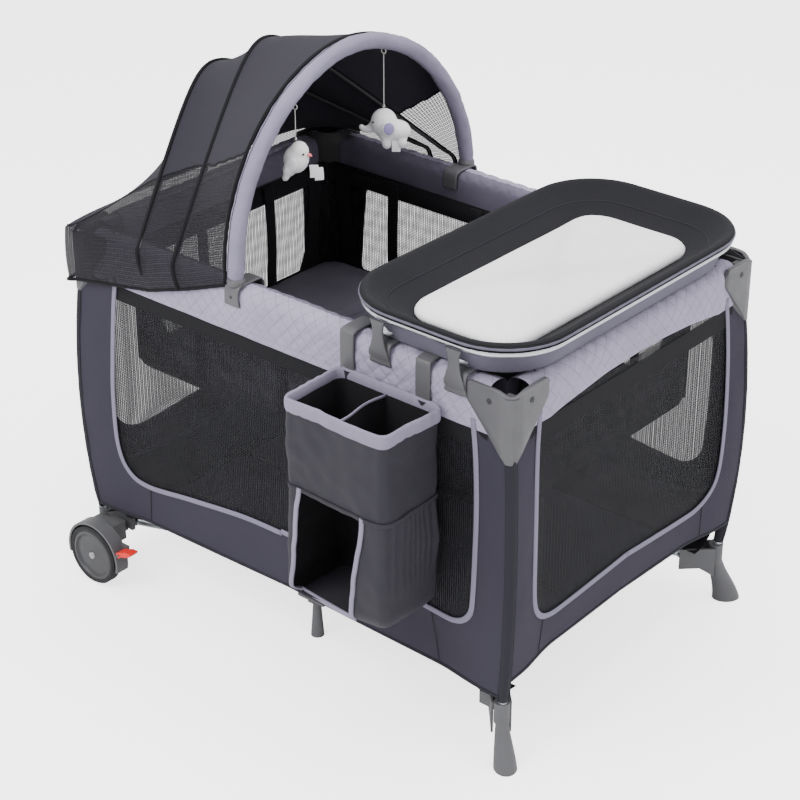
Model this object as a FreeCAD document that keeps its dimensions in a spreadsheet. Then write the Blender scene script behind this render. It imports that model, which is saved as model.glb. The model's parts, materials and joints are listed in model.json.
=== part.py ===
import FreeCAD, Part
import Sketcher

# Travel play yard: a folding frame of tubes with plastic corners, two feet and two wheels, fabric
# walls, a raised bassinet, a flip-away changer, a hanging organizer and a canopy with two toys.
# Millimetres. +Z is up, X runs along the yard, the organizer side faces -Y.
# The origin is the centre of the hub's foot, on the floor.

import math
import os
import re

V = FreeCAD.Vector
doc = FreeCAD.newDocument("play_yard")
dims = doc.addObject("Spreadsheet::Sheet", "dims")

DRIVING = [
    ("yard_long", 1040, "outside length over the corner caps"),
    ("yard_deep", 712, "outside depth over the corner caps"),
    ("cap_top", 730, "top of the corner caps"),
    ("long_arm", 423, "pin to pin length of every folding link that runs along X"),
    ("short_arm", 253, "pin to pin length of every folding link that runs along Y"),
    ("fold_gap", 1, "clearance between plates that fold past each other"),
    ("rail_line", 700, "height of the rail tubes' centre line"),
    ("rail_radius", 11, "rail tube"),
    ("rail_inset", 34, "rail centre line inside the caps' outer faces"),
    ("rail_pivot", 712, "height of the rail hinge pins"),
    ("pin_radius", 3, "hinge pins"),
    ("bore_radius", 3.05, "bores that turn on the pins"),
    ("loose_bore", 4.5, "bore at the pins where the rail loops are left open"),
    ("knuckle", 8.5, "radius of the tube ends round their pins"),
    ("tube_radius", 10, "base tubes"),
    ("base_line", 96, "height of the base tubes' centre line"),
    ("base_run", 262, "distance of the straight base run from the middle"),
    ("base_bend", 340, "where a base tube bends towards its corner"),
    ("base_end", 301, "distance of the base tube's corner pin from the middle"),
    ("hub_pin", 22, "base hub pins, from the middle of the hub"),
    ("hub_lane", 20, "side step between the two cross links"),
    ("post_x", 499, "corner posts"),
    ("post_y", 336, "corner posts"),
    ("post_radius", 8.5, "corner posts"),
    ("post_bow", 1700, "bend radius of the bowed posts"),
    ("post_low", 104, "lower end of the posts"),
    ("post_high", 678, "upper end of the posts"),
    ("foot_top", 122, "top of the feet and wheel carriers"),
    ("arm_low", 76, "underside of the brackets' arms"),
    ("arm_half", 16, "distance of a bracket's cheeks from the corner's diagonal"),
    ("wheel_x", 460, "wheel centre"),
    ("wheel_y", 404, "wheel centre plane"),
    ("wheel_radius", 61, "outside of the tyre"),
    ("tyre_depth", 9, "tyre thickness"),
    ("wheel_wide", 24, "width of the wheel"),
    ("axle_radius", 4, "wheel axle"),
    ("wall_face", 352, "outside of the long fabric walls"),
    ("wall_end", 516, "outside of the short fabric walls"),
    ("wall_low", 150, "lower edge of the fabric walls"),
    ("band_low", 642, "lower edge of the quilted rail covers"),
    ("band_top", 731, "top of the quilted rail covers"),
    ("cloth", 4, "thickness of cloth walls"),
    ("liner_x", 452, "half length of the bassinet liner"),
    ("liner_y", 284, "half depth of the bassinet liner"),
    ("liner_low", 444, "underside of the bassinet liner"),
    ("liner_top", 706, "rim of the bassinet liner"),
    ("pad_thick", 30, "bassinet mattress"),
    ("changer_x", 335, "middle of the changer"),
    ("changer_y", -10, "middle of the changer"),
    ("changer_long", 710, "changer over its rim"),
    ("changer_wide", 400, "changer over its rim"),
    ("changer_round", 125, "corner radius of the changer's rim"),
    ("changer_rim", 804, "top of the changer's rim"),
    ("changer_low", 738, "underside of the changer's tub"),
    ("ring_radius", 7, "changer frame tube"),
    ("ring_line", 785, "height of the changer frame tube"),
    ("flip_y", -337, "changer hinge"),
    ("flip_z", 748, "changer hinge"),
    ("bag_left", 155, "organizer"),
    ("bag_right", 378, "organizer"),
    ("bag_front", 505, "organizer"),
    ("bag_back", 359, "organizer"),
    ("bag_low", 285, "organizer"),
    ("bag_top", 667, "organizer"),
    ("bag_shelf", 505, "floor of the organizer's upper pocket"),
    ("arch_half", 345, "half span of the canopy arches"),
    ("arch_high", 1069, "centre line of the front arch at its top"),
    ("arch_round", 322, "shoulder radius of the front arch"),
    ("arch_pad", 15, "radius of the padded front arch"),
    ("arch_foot", 742, "lower end of the front arch"),
    ("hood_half", 365, "half width of the canopy fabric"),
    ("hood_end", 534, "far end of the canopy fabric"),
    ("hood_low", 640, "elastic hem of the canopy fabric"),
    ("rod_half", 358, "half span of the canopy rods"),
    ("rod_low", 690, "lower ends of the canopy rods"),
    ("rod_knee", 746, "where the canopy rods begin to lean in"),
    ("rod_round", 100, "bend radius of the canopy rods at their top"),
    ("clamp_left", 245, "changer clamps"),
    ("clamp_right", 405, "changer clamps"),
    ("hook_left", 172, "organizer hooks"),
    ("hook_right", 337, "organizer hooks"),
    ("string_radius", 0.8, "strings of the toys"),
    ("bird_x", -124, "bird"),
    ("bird_y", -158, "bird"),
    ("bird_top", 940, "bird"),
    ("bird_string", 999, "upper end of the bird's string"),
    ("elephant_x", -144, "elephant"),
    ("elephant_y", 103, "elephant"),
    ("elephant_top", 922, "elephant"),
    ("elephant_string", 1028, "upper end of the elephant's string"),
]
for row, (word, size, note) in enumerate(DRIVING, start=1):
    dims.set(f"A{row}", word)
    dims.set(f"B{row}", str(size))
    dims.set(f"C{row}", note)
    dims.setAlias(f"B{row}", word)
doc.recompute()
WORDS = {word for word, _, _ in DRIVING}
nodes = []


# ---------------------------------------------------------------- helpers
def size(word):
    return float(getattr(dims, word))


def formula(text):
    """The sheet's expression for a formula written with the sheet's words."""
    return re.sub(r"[a-z_]+", lambda m: f"dims.{m[0]}" if m[0] in WORDS else m[0], str(text))


def number(text):
    """The value of a formula written with the sheet's words."""
    parts = re.split(r"([a-z_]+)", str(text))
    filled = "".join(str(size(p)) if p in WORDS else p for p in parts)
    pieces = re.findall(r"\d+\.?\d*(?:e-?\d+)?|[-+*/()]", filled)
    return reckon(pieces)


def reckon(pieces):
    """Arithmetic on a list of numbers, signs and brackets."""

    def factor():
        token = pieces.pop(0)
        if token == "-":
            return -factor()
        if token == "+":
            return factor()
        if token == "(":
            value = total()
            pieces.pop(0)
            return value
        return float(token)

    def product():
        value = factor()
        while pieces and pieces[0] in "*/":
            if pieces.pop(0) == "*":
                value *= factor()
            else:
                value /= factor()
        return value

    def total():
        value = product()
        while pieces and pieces[0] in "+-":
            if pieces.pop(0) == "+":
                value += product()
            else:
                value -= product()
        return value

    return total()


def at(thing, x, y, z):
    for letter, text in zip("xyz", (x, y, z)):
        thing.setExpression(f"Placement.Base.{letter}", formula(text))


def signed(span, side):
    """Low end and length of a span that is mirrored when side is -1."""
    low, high = span
    length = f"({high}) - ({low})"
    return (f"{low}" if side > 0 else f"-({high})"), length


def box(name, xs, ys, zs, sx=1, sy=1):
    thing = doc.addObject("Part::Box", name)
    x, length = signed(xs, sx)
    y, width = signed(ys, sy)
    z, height = signed(zs, 1)
    thing.setExpression("Length", formula(length))
    thing.setExpression("Width", formula(width))
    thing.setExpression("Height", formula(height))
    at(thing, x, y, z)
    return thing


TURN = {
    "x": FreeCAD.Rotation(V(0, 1, 0), 90),
    "y": FreeCAD.Rotation(V(1, 0, 0), -90),
    "z": FreeCAD.Rotation(),
}


def rod(name, along, radius, span, first, second, sx=1, sy=1):
    """A cylinder along x, y or z; first and second are its other two coordinates, in order."""
    thing = doc.addObject("Part::Cylinder", name)
    thing.Placement = FreeCAD.Placement(V(), TURN[along])
    side = {"x": sx, "y": sy, "z": 1}[along]
    low, length = signed(span, side)
    thing.setExpression("Radius", formula(radius))
    thing.setExpression("Height", formula(length))
    place = {
        "x": (low, f"{sy}*({first})", second),
        "y": (f"{sx}*({first})", low, second),
        "z": (f"{sx}*({first})", f"{sy}*({second})", low),
    }[along]
    at(thing, *place)
    return thing


def cone(name, low_radius, high_radius, span, x, y):
    thing = doc.addObject("Part::Cone", name)
    low, length = signed(span, 1)
    thing.setExpression("Radius1", formula(low_radius))
    thing.setExpression("Radius2", formula(high_radius))
    thing.setExpression("Height", formula(length))
    at(thing, x, y, low)
    return thing


def join(name, things):
    thing = doc.addObject("Part::MultiFuse", name)
    thing.Shapes = things
    return thing


def group(name, things):
    thing = doc.addObject("Part::Compound", name)
    thing.Links = things
    return thing


def cut(name, base, tool):
    thing = doc.addObject("Part::Cut", name)
    thing.Base = base
    thing.Tool = tool
    return thing


def common(name, things):
    thing = doc.addObject("Part::MultiCommon", name)
    thing.Shapes = things
    return thing


def shaped(name, shape):
    thing = doc.addObject("Part::Feature", name)
    thing.Shape = shape
    return thing


def mirror(name, source, x=0, y=0):
    thing = doc.addObject("Part::Mirroring", name)
    thing.Source = source
    thing.Normal = V(x, y, 0)
    thing.Base = V(0, 0, 0)
    return thing


def turned(name, source):
    """The same piece turned half way round the hub."""
    return mirror(name, mirror(name + "_flip", source, x=1), y=1)


def node(label, thing):
    thing.Label = label
    nodes.append(thing)
    return thing


def pin_to(sketch, index, corner, axis, text):
    """Ties one coordinate of a sketched corner to a formula."""
    value = number(text)
    kind = "DistanceX" if axis == 0 else "DistanceY"
    if abs(value) < 1e-9:
        sketch.addConstraint(Sketcher.Constraint("PointOnObject", index, corner, -2 if axis == 0 else -1))
        return
    ends = (-1, 1, index, corner) if value > 0 else (index, corner, -1, 1)
    number_of = sketch.addConstraint(Sketcher.Constraint(kind, *ends, abs(value)))
    sign = "" if value > 0 else "-"
    sketch.setExpression(f"Constraints[{number_of}]", formula(f"{sign}({text})"))


def outline(body, name, plane, corners):
    """A closed sketch of straight sides, every corner tied to the sheet."""
    sketch = body.newObject("Sketcher::SketchObject", name)
    origin = [o for o in body.Origin.OriginFeatures if o.Role == plane][0]
    sketch.AttachmentSupport = (origin, "")
    sketch.MapMode = "FlatFace"
    spots = [V(number(a), number(b), 0) for a, b in corners]
    count = len(spots)
    for i in range(count):
        sketch.addGeometry(Part.LineSegment(spots[i], spots[(i + 1) % count]), False)
    for i in range(count):
        sketch.addConstraint(Sketcher.Constraint("Coincident", i, 2, (i + 1) % count, 1))
    for i, (a, b) in enumerate(corners):
        pin_to(sketch, i, 1, 0, a)
        pin_to(sketch, i, 1, 1, b)
    return sketch


def plate(name, plane, corners, low, high):
    """A flat plate: an outline on an origin plane, padded from low to high along its normal.

    XY_Plane pads along +Z and YZ_Plane along +X. XZ_Plane's normal is -Y.
    """
    body = doc.addObject("PartDesign::Body", name)
    sketch = outline(body, name + "_outline", plane, corners)
    pad = body.newObject("PartDesign::Pad", name + "_pad")
    pad.Profile = sketch
    pad.setExpression("Length", formula(f"({high}) - ({low})"))
    axis = {"XY_Plane": "z", "YZ_Plane": "x", "XZ_Plane": "y"}[plane]
    start = f"-({low})" if plane == "XZ_Plane" else low
    body.setExpression(f"Placement.Base.{axis}", formula(start))
    body.Tip = pad
    return body


def revolved(name, corners, x, y, z, rotation):
    """A turned piece: radius and height pairs, revolved round the body's Z axis."""
    body = doc.addObject("PartDesign::Body", name)
    sketch = outline(body, name + "_outline", "XZ_Plane", corners)
    turn = body.newObject("PartDesign::Revolution", name + "_turn")
    turn.Profile = sketch
    turn.ReferenceAxis = (sketch, ["V_Axis"])
    turn.Angle = 360
    body.Tip = turn
    body.Placement = FreeCAD.Placement(V(), rotation)
    at(body, x, y, z)
    return body


def bent_wire(points, bends, closed=False):
    """Straight runs joined by tangent arcs; bends is one radius, or one for each point."""
    count = len(points)
    radii = bends if isinstance(bends, list) else [bends] * count
    turns = range(count) if closed else range(1, count - 1)
    arcs = {}
    for i in turns:
        here = points[i]
        back = (points[i - 1] - here).normalize()
        ahead = (points[(i + 1) % count] - here).normalize()
        half = back.getAngle(ahead) / 2
        reach = radii[i] / math.tan(half)
        middle = (back + ahead).normalize() * (radii[i] / math.sin(half))
        centre = here + middle
        nearest = centre - V(middle).normalize() * radii[i]
        arcs[i] = (here + back * reach, nearest, here + ahead * reach)
    edges = []
    last = arcs[count - 1][2] if closed else points[0]
    for i in range(0 if closed else 1, count):
        if i in arcs:
            start, middle, finish = arcs[i]
            if (start - last).Length > 1e-6:
                edges.append(Part.LineSegment(last, start).toShape())
            edges.append(Part.Arc(start, middle, finish).toShape())
            last = finish
        else:
            edges.append(Part.LineSegment(last, points[i]).toShape())
    return Part.Wire(edges)


def swept(name, points, bend, radius, closed=False):
    """A round tube or sleeve along straight runs and tangent arcs."""
    path = bent_wire(points, bend, closed)
    first = path.OrderedEdges[0]
    start = first.valueAt(first.FirstParameter)
    along = first.tangentAt(first.FirstParameter)
    ring = Part.Wire([Part.makeCircle(radius, start, along)])
    return shaped(name, path.makePipeShell([ring], True, False))


def rounded_box(name, centre_x, centre_y, long_x, long_y, low, high, corner):
    """A box with rounded upright edges."""
    block = box(
        name + "_block",
        (f"({centre_x}) - ({long_x})/2", f"({centre_x}) + ({long_x})/2"),
        (f"({centre_y}) - ({long_y})/2", f"({centre_y}) + ({long_y})/2"),
        (low, high),
    )
    doc.recompute()
    upright = []
    for i, edge in enumerate(block.Shape.Edges, start=1):
        run = edge.Vertexes[-1].Point - edge.Vertexes[0].Point
        if abs(run.z) > 0.9 * run.Length:
            upright.append((i, number(corner), number(corner)))
    thing = doc.addObject("Part::Fillet", name)
    thing.Base = block
    thing.Edges = upright
    return thing


CORNERS = {"fr": (1, -1), "rr": (1, 1), "fl": (-1, -1), "rl": (-1, 1)}
RAIL_Y = "yard_deep/2 - rail_inset"
RAIL_X = "yard_long/2 - rail_inset"


# ---------------------------------------------------------------- corner posts and caps
def bow(name, radius, sx, sy):
    """A bowed rod: part of a large ring that stands upright in the corner's diagonal plane."""
    half = (size("post_high") - size("post_low")) / 2
    reach = math.degrees(math.asin(half / size("post_bow")))
    outward = V(sx * 0.824, sy * 0.566, 0)
    ring = doc.addObject("Part::Torus", name)
    ring.setExpression("Radius1", formula("post_bow"))
    ring.setExpression("Radius2", formula(radius))
    ring.Angle3 = 2 * reach
    face = FreeCAD.Rotation(outward, V(0, 0, 1), V(), "XYZ")
    spin = FreeCAD.Rotation(V(0, 0, 1), -reach)
    back = size("post_bow") * math.cos(math.radians(reach))
    middle = V(sx * size("post_x"), sy * size("post_y"), size("post_low") + half)
    ring.Placement = FreeCAD.Placement(middle - outward * back, face * spin)
    return ring


def post(label, sx, sy):
    return node(label, bow(label, "post_radius", sx, sy))


def shield(name, sx, sy):
    """The cap's face seen along the corner's diagonal: two arms, a dip between them and a low tip."""
    body = plate(
        name,
        "XZ_Plane",
        [
            ("-64", "cap_top - 10"), ("-58", "cap_top"), ("-30", "cap_top"), ("-10", "cap_top - 10"),
            ("10", "cap_top - 10"), ("30", "cap_top"), ("58", "cap_top"), ("64", "cap_top - 10"),
            ("64", "cap_top - 30"), ("9", "cap_top - 128"), ("-9", "cap_top - 128"),
            ("-64", "cap_top - 30"),
        ],
        "-300",
        "0",
    )
    turn = math.degrees(math.atan2(sy, sx)) - 90
    body.Placement = FreeCAD.Placement(V(), FreeCAD.Rotation(V(0, 0, 1), turn))
    at(body, f"{sx}*(yard_long/2 + 60)", f"{sy}*(yard_deep/2 + 60)", "0")
    return body


def corner_cap(label, sx, sy, open_x, open_y):
    """Outer shell in an L round the corner, a head over the post, and a pin for each rail."""
    shell = plate(
        label + "_shell",
        "XY_Plane",
        [
            (f"{sx}*(yard_long/2 - 92)", f"{sy}*(yard_deep/2)"),
            (f"{sx}*(yard_long/2 - 16)", f"{sy}*(yard_deep/2)"),
            (f"{sx}*(yard_long/2 - 4)", f"{sy}*(yard_deep/2 - 4)"),
            (f"{sx}*(yard_long/2)", f"{sy}*(yard_deep/2 - 16)"),
            (f"{sx}*(yard_long/2)", f"{sy}*(yard_deep/2 - 92)"),
            (f"{sx}*(yard_long/2 - 7)", f"{sy}*(yard_deep/2 - 92)"),
            (f"{sx}*(yard_long/2 - 7)", f"{sy}*(yard_deep/2 - 7)"),
            (f"{sx}*(yard_long/2 - 92)", f"{sy}*(yard_deep/2 - 7)"),
        ],
        "cap_top - 140",
        "cap_top",
    )
    face = common(label + "_face", [shell, shield(label + "_shield", sx, sy)])
    head = box(
        label + "_head",
        ("post_x - 10", "yard_long/2 - 5"),
        ("post_y - 10", "yard_deep/2 - 5"),
        ("post_high", "cap_top - 14"),
        sx,
        sy,
    )
    thin = "loose_bore - 0.5"
    rise = ("rail_pivot - 10", "rail_pivot + 6")
    pins = [
        box(label + "_ear_x", ("yard_long/2 - 92", "yard_long/2 - 6"),
            ("yard_deep/2 - 13", "yard_deep/2 - 6"), rise, sx, sy),
        box(label + "_tongue_x", ("long_arm - 10", "yard_long/2 - 80"),
            ("yard_deep/2 - 13", "yard_deep/2 - 9.5"), rise, sx, sy),
        rod(label + "_pin_x", "y", thin if open_x else "pin_radius",
            (f"{RAIL_Y} - 12", "yard_deep/2 - 10"), "long_arm", "rail_pivot", sx, sy),
        box(label + "_ear_y", ("yard_long/2 - 13", "yard_long/2 - 6"),
            ("yard_deep/2 - 92", "yard_deep/2 - 6"), rise, sx, sy),
        box(label + "_tongue_y", ("yard_long/2 - 13", "yard_long/2 - 9.5"),
            ("short_arm - 10", "yard_deep/2 - 80"), rise, sx, sy),
        rod(label + "_pin_y", "x", thin if open_y else "pin_radius",
            (f"{RAIL_X} - 12", "yard_long/2 - 10"), "short_arm", "rail_pivot", sx, sy),
    ]
    solid = join(label + "_solid", [face, head, *pins])
    return node(label, cut(label, solid, bow(label + "_bore", "post_radius + 0.3", sx, sy)))


# ---------------------------------------------------------------- feet
def oval(name, long_radius, short_radius, x, y, z, sx, sy):
    ring = doc.addObject("Part::Ellipse", name)
    ring.setExpression("MajorRadius", formula(long_radius))
    ring.setExpression("MinorRadius", formula(short_radius))
    ring.Placement = FreeCAD.Placement(V(), FreeCAD.Rotation(V(0, 0, 1), 45 * sx * sy))
    at(ring, f"{sx}*({x})", f"{sy}*({y})", z)
    return ring


def arm_plate(name, side, sx, sy, reach):
    """One cheek of the bracket that runs diagonally in from a corner post."""
    cheek = plate(
        name,
        "XZ_Plane",
        [
            ("4", "foot_top - 4"), ("4", "arm_low - 22"), ("16", "arm_low - 12"), ("34", "arm_low"),
            (reach, "arm_low"), (reach, "foot_top - 2"),
        ],
        f"{side}*arm_half - 2",
        f"{side}*arm_half + 2",
    )
    turn = FreeCAD.Rotation(V(0, 0, 1), math.degrees(math.atan2(-sy, -sx)))
    base = turn.multVec(V(0, number(f"{side}*arm_half + 2"), 0))
    cheek.Placement = FreeCAD.Placement(base, turn)
    at(cheek, f"{sx}*post_x + ({base.x})", f"{sy}*post_y + ({base.y})", "0")
    return cheek


def cheeks(label, sx, sy):
    """A long cheek on the yard's side of the base tube and a short one behind the tube's end."""
    outer = -sx * sy
    return [
        arm_plate(label + "_cheek_in", -outer, sx, sy, "74"),
        arm_plate(label + "_cheek_out", outer, sx, sy, "42"),
    ]


def corner_socket(name, sx, sy):
    """The cup that the post stands in, and the bore for the post."""
    cup = rod(name + "_cup", "z", "post_radius + 5.5", ("post_low - 24", "foot_top"), "post_x", "post_y",
              sx, sy)
    return cup, bow(name + "_bore", "post_radius + 0.3", sx, sy)


def base_pin(name, sx, sy):
    """The pin that a base tube turns on, held from the outer cheek's side."""
    stub = rod(name + "_pin", "y", "pin_radius", ("base_end - 9", "base_end + 22"),
               "hub_pin + long_arm", "base_line", sx, sy)
    lug = box(name + "_lug", ("hub_pin + long_arm - 6", "hub_pin + long_arm + 34"),
              ("base_end + 14", "base_end + 22"), ("base_line - 12", "base_line + 14"), sx, sy)
    return [stub, lug]


def foot(label, sx, sy):
    """A foot that flares outward to an oval tread, with the bracket arm for the base tube."""
    stages = [
        oval(label + "_tread", "27", "21", "post_x + 22", "post_y + 15", "0", sx, sy),
        oval(label + "_ankle", "25", "20", "post_x + 20", "post_y + 14", "12", sx, sy),
        oval(label + "_waist", "17", "14", "post_x + 7", "post_y + 5", "58", sx, sy),
        oval(label + "_collar", "11", "10", "post_x", "post_y", "foot_top - 22", sx, sy),
    ]
    leg = doc.addObject("Part::Loft", label + "_leg")
    leg.Sections = stages
    leg.Solid = True
    leg.Ruled = False
    cup, bore = corner_socket(label, sx, sy)
    whole = join(label + "_solid", [leg, cup, *cheeks(label, sx, sy), *base_pin(label, sx, sy)])
    return node(label, cut(label, whole, bore))


# ---------------------------------------------------------------- wheels
def wheel_carrier(label, sx, sy):
    """Socket for the post, bracket for the base tube, and a fender over the wheel."""
    cup, bore = corner_socket(label, sx, sy)
    inner = ("wheel_y - wheel_wide/2 - 9", "wheel_y - wheel_wide/2 - 3")
    back = rod(label + "_back", "y", "wheel_radius + 9", inner, "wheel_x", "wheel_radius", sx, sy)
    roof = rod(label + "_roof", "y", "wheel_radius + 9",
               ("wheel_y - wheel_wide/2 - 4", "wheel_y + wheel_wide/2 - 4"), "wheel_x", "wheel_radius",
               sx, sy)
    hollow = rod(label + "_hollow", "y", "wheel_radius + 4",
                 ("wheel_y - wheel_wide/2 - 3", "wheel_y + wheel_wide/2"), "wheel_x", "wheel_radius", sx, sy)
    shell = cut(label + "_shell", join(label + "_drum", [back, roof]), hollow)
    below = box(label + "_below", ("wheel_x - 100", "wheel_x + 100"), ("wheel_y - 40", "wheel_y + 40"),
                ("-40", "wheel_radius - 16"), sx, sy)
    fender = cut(label + "_fender", shell, below)
    neck = box(label + "_neck", ("wheel_x - 14", "post_x + 6"), ("post_y - 2", "wheel_y - wheel_wide/2 - 4"),
               ("wheel_radius + 8", "foot_top - 12"), sx, sy)
    lug = box(label + "_lever_lug", ("wheel_x - 77", "wheel_x - 50"),
              ("wheel_y - wheel_wide/2 - 9", "wheel_y - wheel_wide/2 - 3"), ("74", "100"), sx, sy)
    lever_pin = rod(label + "_lever_pin", "y", "pin_radius",
                    ("wheel_y - wheel_wide/2 - 5", "wheel_y + wheel_wide/2 - 4"), "wheel_x - 72", "88",
                    sx, sy)
    whole = join(label + "_solid", [
        cup, *cheeks(label, sx, sy), *base_pin(label, sx, sy), fender, neck, lug, lever_pin,
    ])
    trimmed = cut(label + "_trimmed", whole, bore)
    axle_bore = rod(label + "_axle_bore", "y", "axle_radius",
                    ("wheel_y - wheel_wide/2 - 20", "wheel_y - wheel_wide/2"), "wheel_x",
                    "wheel_radius", sx, sy)
    return node(label, cut(label, trimmed, axle_bore))


def wheel_parts(corner, sx, sy):
    rotation = TURN["y"] if sy > 0 else FreeCAD.Rotation(V(1, 0, 0), 90)
    place = (f"{sx}*wheel_x", f"{sy}*wheel_y", "wheel_radius")
    half = "wheel_wide/2"
    rim = "wheel_radius - tyre_depth"
    node(f"tyre_{corner}", revolved(
        f"tyre_{corner}",
        [
            (rim, f"-{half} + 1"), ("wheel_radius - 3", f"-{half}"), ("wheel_radius", f"-{half} + 4"),
            ("wheel_radius", f"{half} - 4"), ("wheel_radius - 3", half), (rim, f"{half} - 1"),
        ],
        *place, rotation))
    node(f"wheel_{corner}", revolved(
        f"wheel_{corner}",
        [
            ("axle_radius + 0.05", f"-{half} + 1"), ("14", f"-{half} + 1"), ("14", "2"),
            (f"{rim} - 5", "2"), (f"{rim} - 5", f"-{half} + 2"), (rim, f"-{half} + 2"),
            (rim, f"{half} - 2"), (f"{rim} - 6", f"{half} - 1"), (f"{rim} - 9", f"{half} - 5"),
            ("12", f"{half} - 3"), ("axle_radius + 0.05", f"{half} - 3"),
        ],
        *place, rotation))
    node(f"wheel_axle_{corner}", revolved(
        f"wheel_axle_{corner}",
        [
            ("0", f"-{half} - 12"), ("axle_radius", f"-{half} - 12"), ("axle_radius", f"{half} - 2.8"),
            ("8", f"{half} - 2.8"), ("7", f"{half} - 0.5"), ("0", f"{half} - 0.5"),
        ],
        *place, rotation))


def brake_lever(label, sx, sy):
    """A pedal on the fender's pin; its toe points in along the yard."""
    lane = ("wheel_y - wheel_wide/2 - 2", "wheel_y + wheel_wide/2 - 6")
    hub = rod(label + "_hub", "y", "6", lane, "wheel_x - 72", "88", sx, sy)
    blade = plate(
        label + "_blade",
        "XZ_Plane",
        [
            (f"{sx}*(wheel_x - 73)", "95"), (f"{sx}*(wheel_x - 73)", "86"),
            (f"{sx}*(wheel_x - 90)", "90"), (f"{sx}*(wheel_x - 106)", "98"),
            (f"{sx}*(wheel_x - 109)", "104"), (f"{sx}*(wheel_x - 96)", "104"),
            (f"{sx}*(wheel_x - 84)", "99"),
        ],
        lane[0] if sy < 0 else f"-({lane[1]})",
        lane[1] if sy < 0 else f"-({lane[0]})",
    )
    bore = rod(label + "_bore", "y", "bore_radius", ("wheel_y - 60", "wheel_y + 60"), "wheel_x - 72", "88",
               sx, sy)
    return node(label, cut(label, join(label + "_solid", [hub, blade]), bore))


# ---------------------------------------------------------------- base tubes, links and hubs
def base_tube(label, sx, sy):
    """A side tube from the hub's pin to the corner's pin, bent outward near the corner."""
    line = size("base_line")
    far = size("hub_pin") + size("long_arm")
    near = size("hub_pin")
    tube = swept(
        label + "_tube",
        [
            V(sx * near, sy * size("base_run"), line),
            V(sx * size("base_bend"), sy * size("base_run"), line),
            V(sx * far, sy * size("base_end"), line),
        ],
        120,
        size("tube_radius"),
    )
    hub_eye = rod(label + "_hub_eye", "y", "knuckle", ("base_run - 10", "base_run + 10"),
                  "hub_pin", "base_line", sx, sy)
    corner_eye = rod(label + "_corner_eye", "y", "knuckle", ("base_end - 10", "base_end + 10"),
                     "hub_pin + long_arm", "base_line", sx, sy)
    whole = join(label + "_solid", [tube, hub_eye, corner_eye])
    bores = group(label + "_bores", [
        rod(label + "_hub_bore", "y", "bore_radius", ("base_run - 30", "base_run + 30"),
            "hub_pin", "base_line", sx, sy),
        rod(label + "_corner_bore", "y", "bore_radius", ("base_end - 30", "base_end + 30"),
            "hub_pin + long_arm", "base_line", sx, sy),
    ])
    return node(label, cut(label, whole, bores))


def side_hub(label):
    """Joins the two base tubes of the front side and the front cross link, over a tapered leg."""
    inner, outer = "base_run - 18", "base_run + 18"
    cheeks = [
        box(label + "_inner", ("-32", "32"), (inner, "base_run - 13"), ("84", "114"), 1, -1),
        box(label + "_outer", ("-32", "32"), ("base_run + 13", outer), ("84", "114"), 1, -1),
        box(label + "_roof", ("-32", "32"), (inner, outer), ("109", "114"), 1, -1),
        box(label + "_core", ("-7", "7"), (inner, outer), ("80", "114"), 1, -1),
        cone(label + "_leg", "13", "7", ("0", "82"), "0", "-base_run"),
    ]
    pins = [
        rod(f"{label}_pin_{side}", "y", "pin_radius", (f"{inner} + 1", f"{outer} - 1"),
            "hub_pin", "base_line", sx, -1)
        for side, sx in (("r", 1), ("l", -1))
    ]
    eye = "short_arm - hub_pin"
    ears = [
        box(label + "_ear_out", ("-hub_lane - 14", "-hub_lane - 9"), (f"{eye} - 8", f"{inner} + 1"),
            ("base_line - 9", "base_line + 9"), 1, -1),
        box(label + "_ear_in", ("-hub_lane + 9", "-hub_lane + 14"), (f"{eye} - 8", f"{inner} + 1"),
            ("base_line - 9", "base_line + 9"), 1, -1),
        rod(label + "_link_pin", "x", "pin_radius", ("-hub_lane - 13", "-hub_lane + 13"), eye,
            "base_line", 1, -1),
    ]
    return node(label, join(label, [*cheeks, *pins, *ears]))


def cross_link(label):
    """A bar from the front side hub to the far pin of the centre hub."""
    eye = "short_arm - hub_pin"
    bar = box(label + "_bar", ("-hub_lane - 7", "-hub_lane + 7"), ("-hub_pin", eye),
              ("base_line - 6", "base_line + 6"), 1, -1)
    ends = [
        rod(f"{label}_{end}", "x", "knuckle - 1", ("-hub_lane - 7", "-hub_lane + 7"), y, "base_line", 1, -1)
        for end, y in (("outer_eye", eye), ("inner_eye", "-hub_pin"))
    ]
    bores = group(label + "_bores", [
        rod(f"{label}_{end}_bore", "x", "bore_radius", ("-hub_lane - 20", "-hub_lane + 20"), y, "base_line",
            1, -1)
        for end, y in (("outer", eye), ("inner", "-hub_pin"))
    ])
    return node(label, cut(label, join(label + "_solid", [bar, *ends]), bores))


def centre_hub(label):
    """Holds both cross links on its two pins and stands on a foot of its own."""
    core = box(label + "_core", ("-11", "11"), ("-32", "32"), ("82", "112"))
    leg = cone(label + "_leg", "10", "9", ("0", "84"), "0", "0")
    wings = []
    for side, sx, sy in (("front", -1, 1), ("rear", 1, -1)):
        wings.append(rod(f"{label}_pin_{side}", "x", "pin_radius", ("10", "hub_lane + 14"), "hub_pin",
                         "base_line", sx, sy))
        wings.append(box(f"{label}_wing_{side}", ("hub_lane + 9", "hub_lane + 14"), ("hub_pin - 9", "32"),
                         ("base_line - 9", "112"), sx, sy))
        wings.append(box(f"{label}_top_{side}", ("10", "hub_lane + 14"), ("hub_pin - 9", "32"),
                         ("108", "112"), sx, sy))
    return node(label, join(label, [core, leg, *wings]))


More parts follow.
